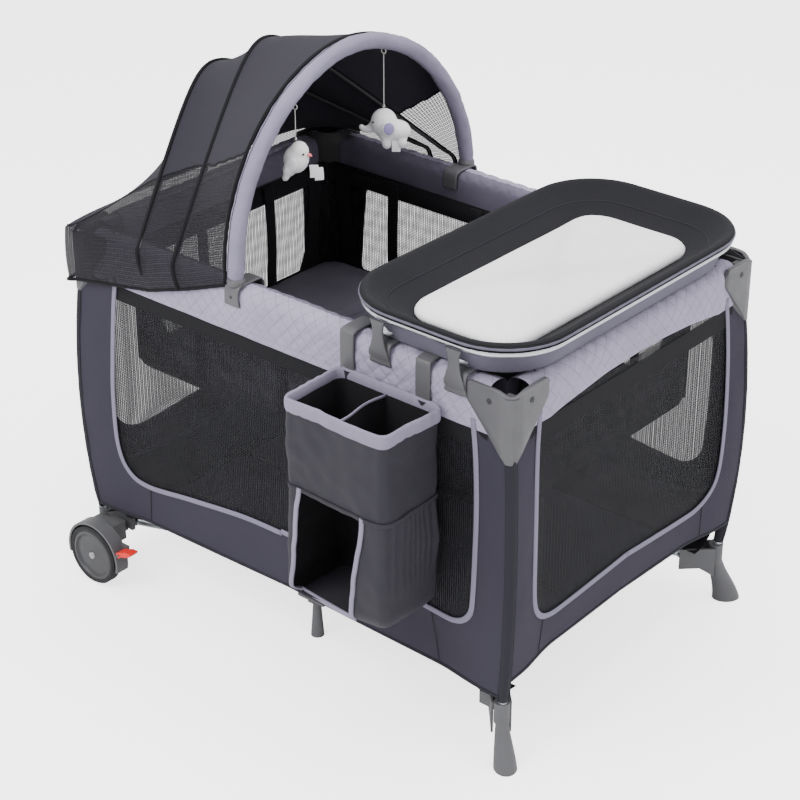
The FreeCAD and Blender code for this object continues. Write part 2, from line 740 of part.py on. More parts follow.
# ---------------------------------------------------------------- folding rails
def rail_half(label, along, side, corner_side, lane, loose):
    """Half of a rail from the middle pin to the corner pin; lane sets its plate beside the other half's.

    along is x or y; side is the half's direction along it; corner_side is the rail's side of the yard.
    """
    across = RAIL_Y if along == "x" else RAIL_X
    arm = "long_arm" if along == "x" else "short_arm"
    cross = "y" if along == "x" else "x"
    sx, sy = (side, corner_side) if along == "x" else (corner_side, side)

    def slab(name, run, width, rise):
        xs, ys = (run, width) if along == "x" else (width, run)
        return box(name, xs, ys, rise, sx, sy)

    def eye(name, radius, width, spot):
        return rod(name, cross, radius, width, spot, "rail_pivot", sx, sy)

    tube = rod(label + "_tube", along, "rail_radius", ("18", f"{arm} - 14"), across, "rail_line", sx, sy)
    if lane < 0:
        lane_low, lane_high = f"{across} - 9", f"{across} - fold_gap/2"
    else:
        lane_low, lane_high = f"{across} + fold_gap/2", f"{across} + 9"
    full = (f"{across} - 9", f"{across} + 9")
    web = [
        slab(label + "_web", ("1", "22"), (lane_low, lane_high), ("rail_pivot - 7", "rail_pivot - 2")),
        slab(label + "_web_low", ("12", "22"), (lane_low, lane_high), ("rail_line - 6", "rail_pivot - 5")),
        eye(label + "_mid_eye", "7", (lane_low, lane_high), "0"),
        slab(label + "_neck", (f"{arm} - 20", f"{arm} - 2"), full, ("rail_pivot - 8", "rail_pivot - 2")),
        eye(label + "_end_eye", "8", full, arm),
    ]
    end_bore = "loose_bore" if loose else "bore_radius"
    far = (f"{across} - 30", f"{across} + 30")
    if lane < 0:
        pin = [eye(label + "_mid_pin", "pin_radius", (f"{across} - 8", f"{across} + 8"), "0")]
        bores = eye(label + "_end_bore", end_bore, far, arm)
    else:
        pin = []
        bores = group(label + "_bores", [
            eye(label + "_mid_bore", "bore_radius", far, "0"),
            eye(label + "_end_bore", end_bore, far, arm),
        ])
    body = join(label + "_solid", [tube, *web])
    if not pin:
        return node(label, cut(label, body, bores))
    return node(label, join(label, [cut(label + "_bored", body, bores), *pin]))


def rail_latch(label, along, corner_side):
    """The squeeze latch under the middle of a rail: a saddle round the tube of the first half."""
    across = RAIL_Y if along == "x" else RAIL_X
    run = ("30", "66")
    walls = [
        ((f"{across} - 15", f"{across} + 15"), ("rail_line - 22", "rail_line - 16")),
        ((f"{across} - 15", f"{across} - 12"), ("rail_line - 20", "rail_line + 2")),
        ((f"{across} + 12", f"{across} + 15"), ("rail_line - 20", "rail_line + 2")),
    ]
    sx, sy = (1, corner_side) if along == "x" else (corner_side, -1)
    plates = []
    for index, (width, rise) in enumerate(walls):
        xs, ys = (run, width) if along == "x" else (width, run)
        plates.append(box(f"{label}_{index}", xs, ys, rise, sx, sy))
    return node(label, join(label, plates))


# ---------------------------------------------------------------- cloth of the yard
def ring_of_walls(name, half_x, half_y, thick, low, high):
    outer = box(name + "_outer", (f"-({half_x})", half_x), (f"-({half_y})", half_y), (low, high))
    inner = box(name + "_inner", (f"-({half_x}) + {thick}", f"{half_x} - {thick}"),
                (f"-({half_y}) + {thick}", f"{half_y} - {thick}"), (f"{low} - 1", f"{high} + 1"))
    return cut(name, outer, inner)


def side_fabric():
    """Four cloth walls between the posts."""
    walls = []
    for name, side in (("front", -1), ("rear", 1)):
        walls.append(box(f"wall_{name}", ("-post_x + 32", "post_x - 32"),
                         ("wall_face - cloth", "wall_face"), ("wall_low", "band_low - 1"), 1, side))
    for name, side in (("right", 1), ("left", -1)):
        walls.append(box(f"wall_{name}", ("wall_end - cloth", "wall_end"),
                         ("-post_y + 32", "post_y - 32"), ("wall_low + 30", "band_low - 1"), side, 1))
    return node("side_fabric", group("side_fabric", walls))


def rail_cover():
    """Padded sleeves over the rails, one to each side, open underneath."""
    sleeves = []
    for name, side in (("front", -1), ("rear", 1)):
        solid = box(f"cover_{name}", ("-yard_long/2 + 106", "yard_long/2 - 106"),
                    (f"{RAIL_Y} - 24", "wall_face"), ("band_low", "band_top"), 1, side)
        hollow = box(f"cover_{name}_hollow", ("-yard_long", "yard_long"),
                     (f"{RAIL_Y} - 19", "wall_face - 5"), ("band_low - 1", "band_top - 5"), 1, side)
        inside = box(f"cover_{name}_inside", ("-yard_long", "yard_long"),
                     (f"{RAIL_Y} - 30", "wall_face - 10"), ("band_low - 1", "band_low + 22"), 1, side)
        sleeves.append(cut(f"sleeve_{name}", cut(f"sleeve_{name}_u", solid, hollow), inside))
    for name, side in (("right", 1), ("left", -1)):
        solid = box(f"cover_{name}", (f"{RAIL_X} - 24", "wall_end"),
                    ("-yard_deep/2 + 106", "yard_deep/2 - 106"), ("band_low", "band_top"), side, 1)
        hollow = box(f"cover_{name}_hollow", (f"{RAIL_X} - 19", "wall_end - 5"),
                     ("-yard_deep", "yard_deep"), ("band_low - 1", "band_top - 5"), side, 1)
        inside = box(f"cover_{name}_inside", (f"{RAIL_X} - 30", "wall_end - 10"),
                     ("-yard_deep", "yard_deep"), ("band_low - 1", "band_low + 22"), side, 1)
        sleeves.append(cut(f"sleeve_{name}", cut(f"sleeve_{name}_u", solid, hollow), inside))
    return node("rail_cover", group("rail_cover", sleeves))


def bassinet():
    walls = ring_of_walls("liner_walls", "liner_x", "liner_y", "cloth", "liner_low", "liner_top")
    bottom = box("liner_bottom", ("-liner_x + 1", "liner_x - 1"), ("-liner_y + 1", "liner_y - 1"),
                 ("liner_low", "liner_low + cloth"))
    node("bassinet_liner", join("bassinet_liner", [walls, bottom]))
    node("bassinet_mattress", rounded_box(
        "bassinet_mattress", "0", "0", "2*(liner_x - cloth - 3)", "2*(liner_y - cloth - 3)",
        "liner_low + cloth", "liner_low + cloth + pad_thick", "12"))


# ---------------------------------------------------------------- changer
def changer():
    half_long = (size("changer_long") - 20) / 2
    half_wide = (size("changer_wide") - 20) / 2
    cx, cy, line = size("changer_x"), size("changer_y"), size("ring_line")
    path = [
        V(cx - half_wide, cy, line),
        V(cx - half_wide, cy - half_long, line), V(cx + half_wide, cy - half_long, line),
        V(cx + half_wide, cy + half_long, line), V(cx - half_wide, cy + half_long, line),
        V(cx - half_wide, cy, line),
    ]
    ring = swept("changer_ring", path, size("changer_round") - 10, size("ring_radius"))
    links = []
    for name in ("left", "right"):
        spot = f"clamp_{name}"
        links.append(box(f"changer_link_{name}", (f"{spot} - 11", f"{spot} + 11"),
                         ("flip_y - 3", "flip_y + 3"), ("flip_z + 2", "ring_line + 2")))
        links.append(rod(f"changer_link_{name}_eye", "x", "6", (f"{spot} - 11", f"{spot} + 11"),
                         "flip_y", "flip_z"))
        links.append(box(f"changer_link_{name}_head", (f"{spot} - 11", f"{spot} + 11"),
                         ("changer_y - changer_long/2 + 7", "flip_y + 3"),
                         ("ring_line - 4", "ring_line + 4")))
    bores = group("changer_link_bores", [
        rod(f"changer_link_{name}_bore", "x", "bore_radius", (f"{spot} - 30", f"{spot} + 30"),
            "flip_y", "flip_z")
        for name, spot in (("left", "clamp_left"), ("right", "clamp_right"))
    ])
    node("changer_frame", cut("changer_frame", join("changer_frame_solid", [ring, *links]), bores))

    tub_wide, tub_long = "changer_wide - 40", "changer_long - 70"
    bowl = rounded_box("tub_bowl", "changer_x", "changer_y + 6", tub_wide, tub_long,
                       "changer_low", "changer_rim", "changer_round - 22")
    hollow = rounded_box("tub_hollow", "changer_x", "changer_y + 6", f"{tub_wide} - 10", f"{tub_long} - 10",
                         "changer_low + 5", "changer_rim + 10", "changer_round - 27")
    flange = rounded_box("tub_flange", "changer_x", "changer_y", "changer_wide", "changer_long",
                         "changer_rim - 10", "changer_rim", "changer_round")
    node("changer_tub", cut("changer_tub", join("tub_solid", [bowl, flange]), hollow))
    node("changer_pad", rounded_box(
        "changer_pad", "changer_x", "changer_y + 6", f"{tub_wide} - 24", f"{tub_long} - 24",
        "changer_low + 5", "changer_low + 21", "changer_round - 34"))

    clamps = []
    for name in ("left", "right"):
        spot = f"clamp_{name}"
        whole = box(f"clamp_{name}", (f"{spot} - 22", f"{spot} + 22"),
                    (f"-({RAIL_Y}) - 34", f"-({RAIL_Y}) + 29"), ("band_top - 26", "band_top + 5"))
        saddle = box(f"clamp_{name}_saddle", (f"{spot} - 30", f"{spot} + 30"),
                     (f"-({RAIL_Y}) - 30.5", f"-({RAIL_Y}) + 25"), ("band_top - 40", "band_top + 0.3"))
        cheeks = [
            box(f"clamp_{name}_ear_{ear}", (f"{spot} + {low}", f"{spot} + {low} + 5"),
                ("flip_y - 6", "flip_y + 6"), ("band_top + 4", "flip_z + 6"))
            for ear, low in (("a", -17), ("b", 12))
        ]
        pin = rod(f"clamp_{name}_pin", "x", "pin_radius", (f"{spot} - 16", f"{spot} + 16"),
                  "flip_y", "flip_z")
        clamps.append(join(f"clamp_{name}_whole", [cut(f"clamp_{name}_c", whole, saddle), *cheeks, pin]))
    node("changer_clamps", group("changer_clamps", clamps))


# ---------------------------------------------------------------- organizer
def organizer():
    hooks = []
    inside = f"{RAIL_Y} - 29"
    for name in ("left", "right"):
        spot = f"hook_{name}"
        across = (f"{spot} - 14", f"{spot} + 14")
        hooks.append(join(f"hook_{name}", [
            box(f"hook_{name}_front", across, ("wall_face + 2.5", "bag_back"),
                ("bag_top - 60", "band_top + 5"), 1, -1),
            box(f"hook_{name}_top", across, (inside, "bag_back"),
                ("band_top + 1", "band_top + 5"), 1, -1),
            box(f"hook_{name}_back", across, (inside, f"{inside} + 4"),
                ("band_low + 30", "band_top + 5"), 1, -1),
        ]))
    node("organizer_hooks", group("organizer_hooks", hooks))
    shell = box("bag_shell", ("bag_left", "bag_right"), ("bag_back", "bag_front"),
                ("bag_low", "bag_top"), 1, -1)
    upper = box("bag_upper", ("bag_left + cloth", "bag_right - cloth"),
                ("bag_back + cloth", "bag_front - cloth"), ("bag_shelf", "bag_top + 20"), 1, -1)
    lower = box("bag_lower", ("bag_left + cloth", "bag_right - cloth"),
                ("bag_back + cloth", "bag_front - cloth"), ("bag_low + cloth", "bag_shelf - cloth"), 1, -1)
    mouth = box("bag_mouth", ("bag_left + 22", "bag_right - 40"), ("bag_front - 20", "bag_front + 20"),
                ("bag_low + 24", "bag_shelf - 22"), 1, -1)
    hollows = join("bag_hollows", [upper, lower, mouth])
    node("organizer_bag", cut("organizer_bag", shell, hollows))


# ---------------------------------------------------------------- canopy and toys
ARCH_FRONT_X, ARCH_TOP_X, ARCH_REAR_X = -97, -138, -139
# Each rod: where its legs stand on the two sides of the yard, and the place and height of its top.
RODS = {"middle": (-222, -168, -343, 1036), "rear": (-306, -222, -479, 960)}


def arch_point(y_side, share):
    """A point of the front arch's guide: share 0 at a foot, 1 at the top."""
    foot_x = ARCH_FRONT_X if y_side < 0 else ARCH_REAR_X
    return foot_x + (ARCH_TOP_X - foot_x) * share


def canopy_rod(name):
    """A thin rod outside the rail, leaning in over it to a narrow rounded top."""
    front_x, rear_x, top_x, top = RODS[name]
    reach, low, knee = size("rod_half"), size("rod_low"), size("rod_knee")
    bend = size("rod_round")
    slope = math.atan2(reach, top - knee)
    peak = top + bend * (1 / math.sin(slope) - 1)
    path = [V(front_x, -reach, low), V(front_x, -reach, knee), V(top_x, 0, peak),
            V(rear_x, reach, knee), V(rear_x, reach, low)]
    return swept(f"rod_{name}", path, [0, 20, bend, 20, 0], 3)


def canopy():
    half, high, low = size("arch_half"), size("arch_high"), size("arch_foot")
    guide = [V(arch_point(-1, 0), -half, low), V(arch_point(-1, 1), -half, high),
             V(arch_point(1, 1), half, high), V(arch_point(1, 0), half, low)]
    node("canopy_arch", swept("canopy_arch", guide, size("arch_round"), size("arch_pad")))
    node("canopy_rods", group("canopy_rods", [canopy_rod(name) for name in RODS]))

    clips = []
    for name, x, side in (("front", ARCH_FRONT_X, -1), ("rear", ARCH_REAR_X, 1)):
        across = (f"({x}) - 17", f"({x}) + 17")
        clips.append(join(f"clip_{name}", [
            box(f"clip_{name}_outer", across, ("wall_face + 1", "wall_face + 5"),
                ("band_top - 30", "band_top + 6"), 1, side),
            box(f"clip_{name}_top", across, (f"{RAIL_Y} - 28", "wall_face + 5"),
                ("band_top + 1", "band_top + 6"), 1, side),
            box(f"clip_{name}_inner", across, (f"{RAIL_Y} - 28", f"{RAIL_Y} - 25"),
                ("band_top - 30", "band_top + 6"), 1, side),
            rod(f"clip_{name}_cup", "z", "11", ("band_top + 4", "arch_foot - 2.5"), f"{x}",
                "arch_half", 1, side),
        ]))
    node("canopy_clips", group("canopy_clips", clips))
    cloth = cut("canopy_cloth", hood_solid("hood_outside", 0), hood_solid("hood_inside", 4))
    around = swept("arch_clearance", guide, size("arch_round"), size("arch_pad") + 1)
    node("canopy_fabric", cut("canopy_fabric", cloth, around))


def hood_section(place, top, half, knee, sharp, shrink):
    """One hoop of the canopy cloth: upright hems, then a curve over the top. place gives x along it."""
    foot = size("hood_low") - 15 * (shrink > 0)
    width = half - shrink
    rise = top - shrink - knee
    hoop = []
    for step in range(HOOD_STEPS + 1):
        turn = math.pi * step / HOOD_STEPS
        y = -width * math.copysign(abs(math.cos(turn)) ** sharp, math.cos(turn))
        lift = abs(math.sin(turn)) ** sharp
        hoop.append(V(place(y / width, lift), y, knee + rise * lift))
    points = [V(hoop[0].x, -width, foot), *hoop, V(hoop[-1].x, width, foot)]
    return Part.makePolygon([*points, points[0]])


HOOD_STEPS = 16


def hood_solid(name, shrink):
    """The canopy's form, from behind the front arch over both rods to the end rail."""
    half = size("hood_half")
    knee = size("rod_knee")

    def leaning(rod_name):
        front_x, rear_x, top_x, _ = RODS[rod_name]

        def place(side, lift):
            foot_x = (front_x + rear_x) / 2 + (rear_x - front_x) / 2 * side
            return foot_x + (top_x - foot_x) * lift
        return place

    start = ARCH_TOP_X - (20 if shrink == 0 else 14)
    end = size("hood_end") - shrink
    hoops = [
        hood_section(lambda side, lift: start, size("arch_high") + 12, half, knee, 1, shrink),
        hood_section(leaning("middle"), RODS["middle"][3] + 11, half, knee, 1.7, shrink),
        hood_section(leaning("rear"), RODS["rear"][3] + 11, half, knee, 1.7, shrink),
        hood_section(lambda side, lift: -end, knee + 6, half, knee, 0.5, shrink),
    ]
    return shaped(name, Part.makeLoft(hoops, True, True))


def toy(animal, letter, half_x, half_y, half_z):
    """A soft toy on its own short string below the front arch."""
    string = rod(f"toy_string_{letter}", "z", "string_radius", (f"{animal}_top", f"{animal}_string"),
                 f"{animal}_x", f"{animal}_y")
    node(f"toy_string_{letter}", string)
    plush = doc.addObject("Part::Ellipsoid", f"toy_{animal}")
    plush.setExpression("Radius1", half_z)
    plush.setExpression("Radius2", half_x)
    plush.setExpression("Radius3", half_y)
    plush.Angle1, plush.Angle2, plush.Angle3 = -90, 90, 360
    at(plush, f"{animal}_x", f"{animal}_y", f"{animal}_top - {half_z}")
    node(f"toy_{animal}", plush)


# ---------------------------------------------------------------- the whole yard
for corner, (sx, sy) in CORNERS.items():
    post(f"post_{corner}", sx, sy)
    corner_cap(f"corner_cap_{corner}", sx, sy, open_x=sx < 0, open_y=sy > 0)
for corner, opposite in (("fr", "fl"), ("rr", "rl")):
    tube = base_tube(f"base_tube_{corner}", *CORNERS[corner])
    node(f"base_tube_{opposite}", mirror(f"base_tube_{opposite}", tube, x=1))
    foot(f"foot_{corner}", *CORNERS[corner])
for corner in ("fl", "rl"):
    wheel_carrier(f"wheel_carrier_{corner}", *CORNERS[corner])
    wheel_parts(corner, *CORNERS[corner])
    brake_lever(f"brake_lever_{corner}", *CORNERS[corner])

centre_hub("centre_hub")
front_hub = side_hub("side_hub_front")
node("side_hub_rear", turned("side_hub_rear", front_hub))
front_link = cross_link("cross_link_front")
node("cross_link_rear", turned("cross_link_rear", front_link))

for rail, along, side_of_yard in (("front", "x", -1), ("rear", "x", 1), ("right", "y", 1), ("left", "y", -1)):
    names = (("r", 1), ("l", -1)) if along == "x" else (("f", -1), ("b", 1))
    for index, (end, direction) in enumerate(names):
        rail_half(f"rail_{rail}_{end}", along, direction, side_of_yard, -1 if index == 0 else 1, index == 1)
    rail_latch(f"rail_latch_{rail}", along, side_of_yard)

side_fabric()
rail_cover()
node("floor_panel", box("floor_panel", ("-440", "440"), ("-300", "300"), ("117", "122")))
bassinet()
changer()
organizer()
canopy()
toy("bird", "a", "25", "25", "37")
toy("elephant", "b", "40", "40", "42")

# ---------------------------------------------------------------- check and write
doc.recompute()
problems = []
for thing in doc.Objects:
    if "Invalid" in thing.State or "Error" in thing.State:
        problems.append(f"{thing.Label}: {thing.State}")
for thing in nodes:
    shape = thing.Shape
    if shape.isNull() or not shape.isValid():
        problems.append(f"{thing.Label}: shape not valid")
    elif not shape.Solids or min(s.Volume for s in shape.Solids) <= 0:
        problems.append(f"{thing.Label}: no volume")
if problems:
    raise RuntimeError("\n".join(problems))
os.makedirs("parts", exist_ok=True)
for thing in nodes:
    thing.Shape.exportStep(f"parts/{thing.Label}.step")
print(len(nodes), "nodes written")
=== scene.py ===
import json
import math

import bpy
import numpy as np
from mathutils import Euler, Matrix, Vector, noise


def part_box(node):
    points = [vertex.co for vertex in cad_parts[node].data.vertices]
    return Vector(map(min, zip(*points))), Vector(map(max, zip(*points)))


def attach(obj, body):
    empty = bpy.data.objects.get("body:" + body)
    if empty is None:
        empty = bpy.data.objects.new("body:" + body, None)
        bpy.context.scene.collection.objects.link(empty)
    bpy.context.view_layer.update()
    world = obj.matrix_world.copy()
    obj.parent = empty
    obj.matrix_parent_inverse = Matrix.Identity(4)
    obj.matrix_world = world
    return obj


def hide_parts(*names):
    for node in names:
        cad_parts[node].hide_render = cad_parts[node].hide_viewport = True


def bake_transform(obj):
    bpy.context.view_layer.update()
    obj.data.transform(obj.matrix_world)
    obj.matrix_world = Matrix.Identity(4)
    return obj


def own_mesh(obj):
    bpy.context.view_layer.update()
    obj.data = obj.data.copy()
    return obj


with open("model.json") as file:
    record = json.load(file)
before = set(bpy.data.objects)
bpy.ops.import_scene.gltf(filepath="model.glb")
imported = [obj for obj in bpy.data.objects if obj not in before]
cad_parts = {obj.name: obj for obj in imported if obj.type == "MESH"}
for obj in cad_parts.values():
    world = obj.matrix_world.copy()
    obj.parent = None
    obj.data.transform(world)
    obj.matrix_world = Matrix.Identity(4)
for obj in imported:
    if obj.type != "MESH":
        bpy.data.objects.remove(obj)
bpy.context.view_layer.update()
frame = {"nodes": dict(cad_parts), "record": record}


# ---------------------------------------------------------------- small helpers
def srgb(red, green, blue):
    """A colour from 0 to 255, as the linear values that shaders take."""
    def one(value):
        value /= 255
        return value / 12.92 if value <= 0.04045 else ((value + 0.055) / 1.055) ** 2.4
    return (one(red), one(green), one(blue), 1.0)


def smooth_step(value, low, high):
    """Rises smoothly from 0 at low to 1 at high."""
    share = min(1.0, max(0.0, (value - low) / (high - low)))
    return share * share * (3 - 2 * share)


def even_line(line, count, closed=False):
    """A line resampled to evenly spaced points. A closed one doesn't repeat its first point."""
    line = np.array(line, float)
    steps = np.concatenate([[0], np.cumsum(np.linalg.norm(np.diff(line, axis=0), axis=1))])
    wanted = np.linspace(0, steps[-1], count + (1 if closed else 0))
    line = np.stack([np.interp(wanted, steps, line[:, k]) for k in range(line.shape[1])], axis=1)
    return line[:-1] if closed else line


def curve_through(points, count, closed=False):
    """Evenly spaced points of a smooth line through the given ones."""
    given = [np.array(p, float) for p in points]
    if closed:
        given = [given[-1], *given, given[0], given[1]]
    else:
        given = [2 * given[0] - given[1], *given, 2 * given[-1] - given[-2]]
    fine = []
    for i in range(1, len(given) - 2):
        p0, p1, p2, p3 = given[i - 1:i + 3]
        for t in np.arange(0, 1, 1 / 24):
            fine.append(0.5 * (2 * p1 + (p2 - p0) * t + (2 * p0 - 5 * p1 + 4 * p2 - p3) * t * t
                               + (3 * p1 - p0 - 3 * p2 + p3) * t ** 3))
    fine.append(given[-2])
    return even_line(fine, count, closed)


def make(name, verts, faces, look, body, uvs=None):
    """A smooth mesh piece, which rides on a body and stands for a material slot."""
    mesh = bpy.data.meshes.new(name)
    mesh.from_pydata([tuple(v) for v in verts], [], faces)
    if uvs is not None:
        layer = mesh.uv_layers.new(name="UVMap")
        for k, uv in enumerate(uv for corners in uvs for uv in corners):
            layer.data[k].uv = uv
    for polygon in mesh.polygons:
        polygon.use_smooth = True
    mesh.materials.append(look)
    mesh.validate()
    piece = bpy.data.objects.new(name, mesh)
    bpy.context.collection.objects.link(piece)
    if body:
        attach(piece, body)
    return piece


def quads(count, across, wrap=True):
    """The faces of a sheet of count rows of points, joined round where it wraps."""
    faces = []
    for i in range(count - 1):
        for j in range(across if wrap else across - 1):
            k = (j + 1) % across
            faces.append((i * across + j, i * across + k, (i + 1) * across + k, (i + 1) * across + j))
    return faces


def grid(name, rows, look, body, wrap=False):
    """A sheet through rows of points, with its pattern coordinates in metres."""
    rows = np.array(rows, float)
    count, across = rows.shape[:2]
    middle_row, middle_column = rows[count // 2], rows[:, across // 2]
    if wrap:
        middle_row = np.concatenate([middle_row, middle_row[:1]])
    u = np.concatenate([[0], np.cumsum(np.linalg.norm(np.diff(middle_row, axis=0), axis=1))])
    v = np.concatenate([[0], np.cumsum(np.linalg.norm(np.diff(middle_column, axis=0), axis=1))])
    uvs = [((u[j], v[i]), (u[j + 1], v[i]), (u[j + 1], v[i + 1]), (u[j], v[i + 1]))
           for i in range(count - 1) for j in range(across if wrap else across - 1)]
    return make(name, rows.reshape(-1, 3), quads(count, across, wrap), look, body, uvs)


def circle(radius, sides):
    return [(radius * math.cos(2 * math.pi * i / sides), radius * math.sin(2 * math.pi * i / sides))
            for i in range(sides)]


def oval(half_wide, half_high, sides, square=1.0):
    """A closed section. square below 1 makes it boxier."""
    ring = []
    for i in range(sides):
        turn = 2 * math.pi * i / sides
        c, s = math.cos(turn), math.sin(turn)
        ring.append((half_wide * math.copysign(abs(c) ** square, c),
                     half_high * math.copysign(abs(s) ** square, s)))
    return ring


def sweep(name, path, section, look, body, up=(0, 0, 1), closed=False, scale=None):
    """A section carried along a path. up is one direction, or one for each point of the path."""
    path = [Vector(p) for p in path]
    count, across = len(path), len(section)
    ups = up if isinstance(up, (list, np.ndarray)) else [up] * count
    verts = []
    lengths = [0.0]
    for i, here in enumerate(path):
        ahead = path[(i + 1) % count] if closed or i + 1 < count else here
        behind = path[i - 1] if closed or i else here
        along = (ahead - behind).normalized()
        lift = Vector(ups[i])
        lift = (lift - along * lift.dot(along)).normalized()
        side = along.cross(lift)
        grow = scale[i] if scale is not None else 1.0
        verts.extend(here + side * a * grow + lift * b * grow for a, b in section)
        if i:
            lengths.append(lengths[-1] + (here - path[i - 1]).length)
    lengths.append(lengths[-1] + (path[0] - path[-1]).length)
    round_it = [0.0]
    for j in range(across):
        a, b = section[j], section[(j + 1) % across]
        round_it.append(round_it[-1] + math.hypot(a[0] - b[0], a[1] - b[1]))
    faces, uvs = [], []
    for i in range(count if closed else count - 1):
        n = (i + 1) % count
        for j in range(across):
            k = (j + 1) % across
            faces.append((i * across + j, i * across + k, n * across + k, n * across + j))
            uvs.append(((round_it[j], lengths[i]), (round_it[j + 1], lengths[i]),
                        (round_it[j + 1], lengths[i + 1]), (round_it[j], lengths[i + 1])))
    if not closed:
        faces.append(tuple(range(across))[::-1])
        faces.append(tuple((count - 1) * across + j for j in range(across)))
        uvs.extend([section[::-1], section])
    return make(name, verts, faces, look, body, uvs)


def lathe(name, profile, centre, axis, look, body, turns):
    """A turned form: profile gives (radius, distance along the axis)."""
    axis = Vector(axis).normalized()
    side = axis.orthogonal().normalized()
    other = axis.cross(side)
    verts = []
    for radius, along in profile:
        for i in range(turns):
            turn = 2 * math.pi * i / turns
            verts.append(Vector(centre) + axis * along + (side * math.cos(turn) + other * math.sin(turn)) * radius)
    faces = quads(len(profile), turns)
    faces.append(tuple(range(turns))[::-1])
    faces.append(tuple((len(profile) - 1) * turns + j for j in range(turns)))
    return make(name, verts, faces, look, body)


def rounded(cx, cy, half_x, half_y, radius, steps=8):
    """The outline of a rectangle with round corners."""
    line = []
    for sx, sy, start in ((1, 1, 0), (-1, 1, 90), (-1, -1, 180), (1, -1, 270)):
        for i in range(steps + 1):
            turn = math.radians(start + 90 * i / steps)
            line.append((cx + sx * (half_x - radius) + radius * math.cos(turn),
                         cy + sy * (half_y - radius) + radius * math.sin(turn)))
    return line


def even(line, count):
    """A closed outline resampled to evenly spaced points."""
    return even_line([*line, line[0]], count, closed=True)


def bake(piece):
    """Applies a piece's modifiers."""
    shown = piece.evaluated_get(bpy.context.evaluated_depsgraph_get())
    mesh = bpy.data.meshes.new_from_object(shown)
    piece.modifiers.clear()
    piece.data = mesh


def rough_up(piece, amount, scale, seed):
    """Small unevenness of cloth along its normals."""
    vertices = piece.data.vertices
    normals = [v.normal.copy() for v in vertices]
    for vertex, normal in zip(vertices, normals):
        value = noise.noise(vertex.co * scale + Vector((seed, seed * 0.7, -seed)))
        vertex.co += normal * value * amount


# ---------------------------------------------------------------- materials
class Look:
    """A procedural material under construction."""

    def __init__(self, name, rough, metal=0.0, sheen=0.0, specular=0.5):
        self.mat = bpy.data.materials.new(name)
        self.mat.use_nodes = True
        self.tree = self.mat.node_tree
        self.shader = self.tree.nodes["Principled BSDF"]
        self.shader.inputs["Roughness"].default_value = rough
        self.shader.inputs["Metallic"].default_value = metal
        self.shader.inputs["Specular IOR Level"].default_value = specular
        if sheen:
            self.shader.inputs["Sheen Weight"].default_value = sheen
            self.shader.inputs["Sheen Roughness"].default_value = 0.5
        self.height = None
        self.colour = None
        self.coords = self.tree.nodes.new("ShaderNodeTexCoord")

    def put(self, socket, value):
        """Links a socket to another one, or sets its value."""
        if isinstance(value, bpy.types.NodeSocket):
            self.tree.links.new(value, socket)
        else:
            socket.default_value = value

    def node(self, kind, inputs):
        """A new node, with its inputs set or linked."""
        node = self.tree.nodes.new("ShaderNode" + kind)
        for name, value in inputs.items():
            self.put(node.inputs[name], value)
        return node

    def math(self, operation, first, second=0.0):
        node = self.node("Math", {0: first, 1: second})
        node.operation = operation
        return node.outputs[0]

    def axis(self, letter, space="UV"):
        return self.node("SeparateXYZ", {0: self.coords.outputs[space]}).outputs["XYZ".index(letter)]

    def noise(self, scale, detail):
        inputs = {"Vector": self.coords.outputs["Object"], "Scale": scale, "Detail": detail, "Roughness": 0.5}
        return self.node("TexNoise", inputs).outputs["Fac"]

    def wave(self, value, pitch, shift=0.0):
        """A cosine of the value, one turn each pitch, from -1 to 1."""
        turned = self.math("MULTIPLY", value, 2 * math.pi / pitch)
        return self.math("COSINE", self.math("ADD", turned, shift))

    def mix(self, factor, first, second):
        node = self.tree.nodes.new("ShaderNodeMix")
        node.data_type = "RGBA"
        self.put(node.inputs[0], factor)
        self.put(node.inputs[6], first)
        self.put(node.inputs[7], second)
        return node.outputs[2]

    def spread(self, factor, low, high):
        """The factor from 0.3 to 0.7 spread over low to high."""
        return self.node("MapRange", {"Value": factor, "From Min": 0.3, "From Max": 0.7, "To Min": low,
                                      "To Max": high}).outputs["Result"]

    def bump(self, height, distance, strength):
        """Adds a bump on top of those before it."""
        node = self.node("Bump", {"Strength": strength, "Distance": distance, "Height": height})
        if self.height is not None:
            self.tree.links.new(self.height, node.inputs["Normal"])
        self.height = node.outputs["Normal"]

    def paint(self, colour):
        self.colour = colour
        return self

    def done(self):
        if self.height is not None:
            self.tree.links.new(self.height, self.shader.inputs["Normal"])
        self.put(self.shader.inputs["Base Color"], self.colour)
        return self.mat


def shade(colour, factor):
    """The colour made darker or lighter."""
    return tuple(min(1.0, c * factor) for c in colour[:3]) + (1.0,)


def woven(name, colour, rough=0.85, pitch=0.0016, vary=0.12, heather=0.0, space="UV", specular=0.12,
          deep=0.0003):
    """Plain weave. heather is the share of darker flecks in it."""
    look = Look(name, rough, sheen=0.03, specular=specular)
    if space == "UV":
        warp, weft = look.axis("X"), look.axis("Y")
    else:
        warp = look.math("ADD", look.axis("X", "Object"), look.axis("Y", "Object"))
        weft = look.axis("Z", "Object")
    threads = look.math("MAXIMUM", look.wave(warp, pitch), look.wave(weft, pitch, math.pi))
    look.bump(look.noise(60, 3), 0.0012, 0.35)
    look.bump(threads, deep, 0.6)
    cloud = look.spread(look.noise(9, 4), 0.0, 1.0)
    base = look.mix(cloud, shade(colour, 1 - vary), shade(colour, 1 + vary))
    if heather:
        fleck = look.spread(look.noise(900, 1), 0.0, 1.0)
        base = look.mix(look.math("MULTIPLY", fleck, heather), base, shade(colour, 0.62))
    else:
        thread = look.math("MULTIPLY", look.math("ADD", threads, 1.0), 0.5)
        base = look.mix(look.math("MULTIPLY", thread, 0.3), shade(colour, 0.72), base)
    return look.paint(base)


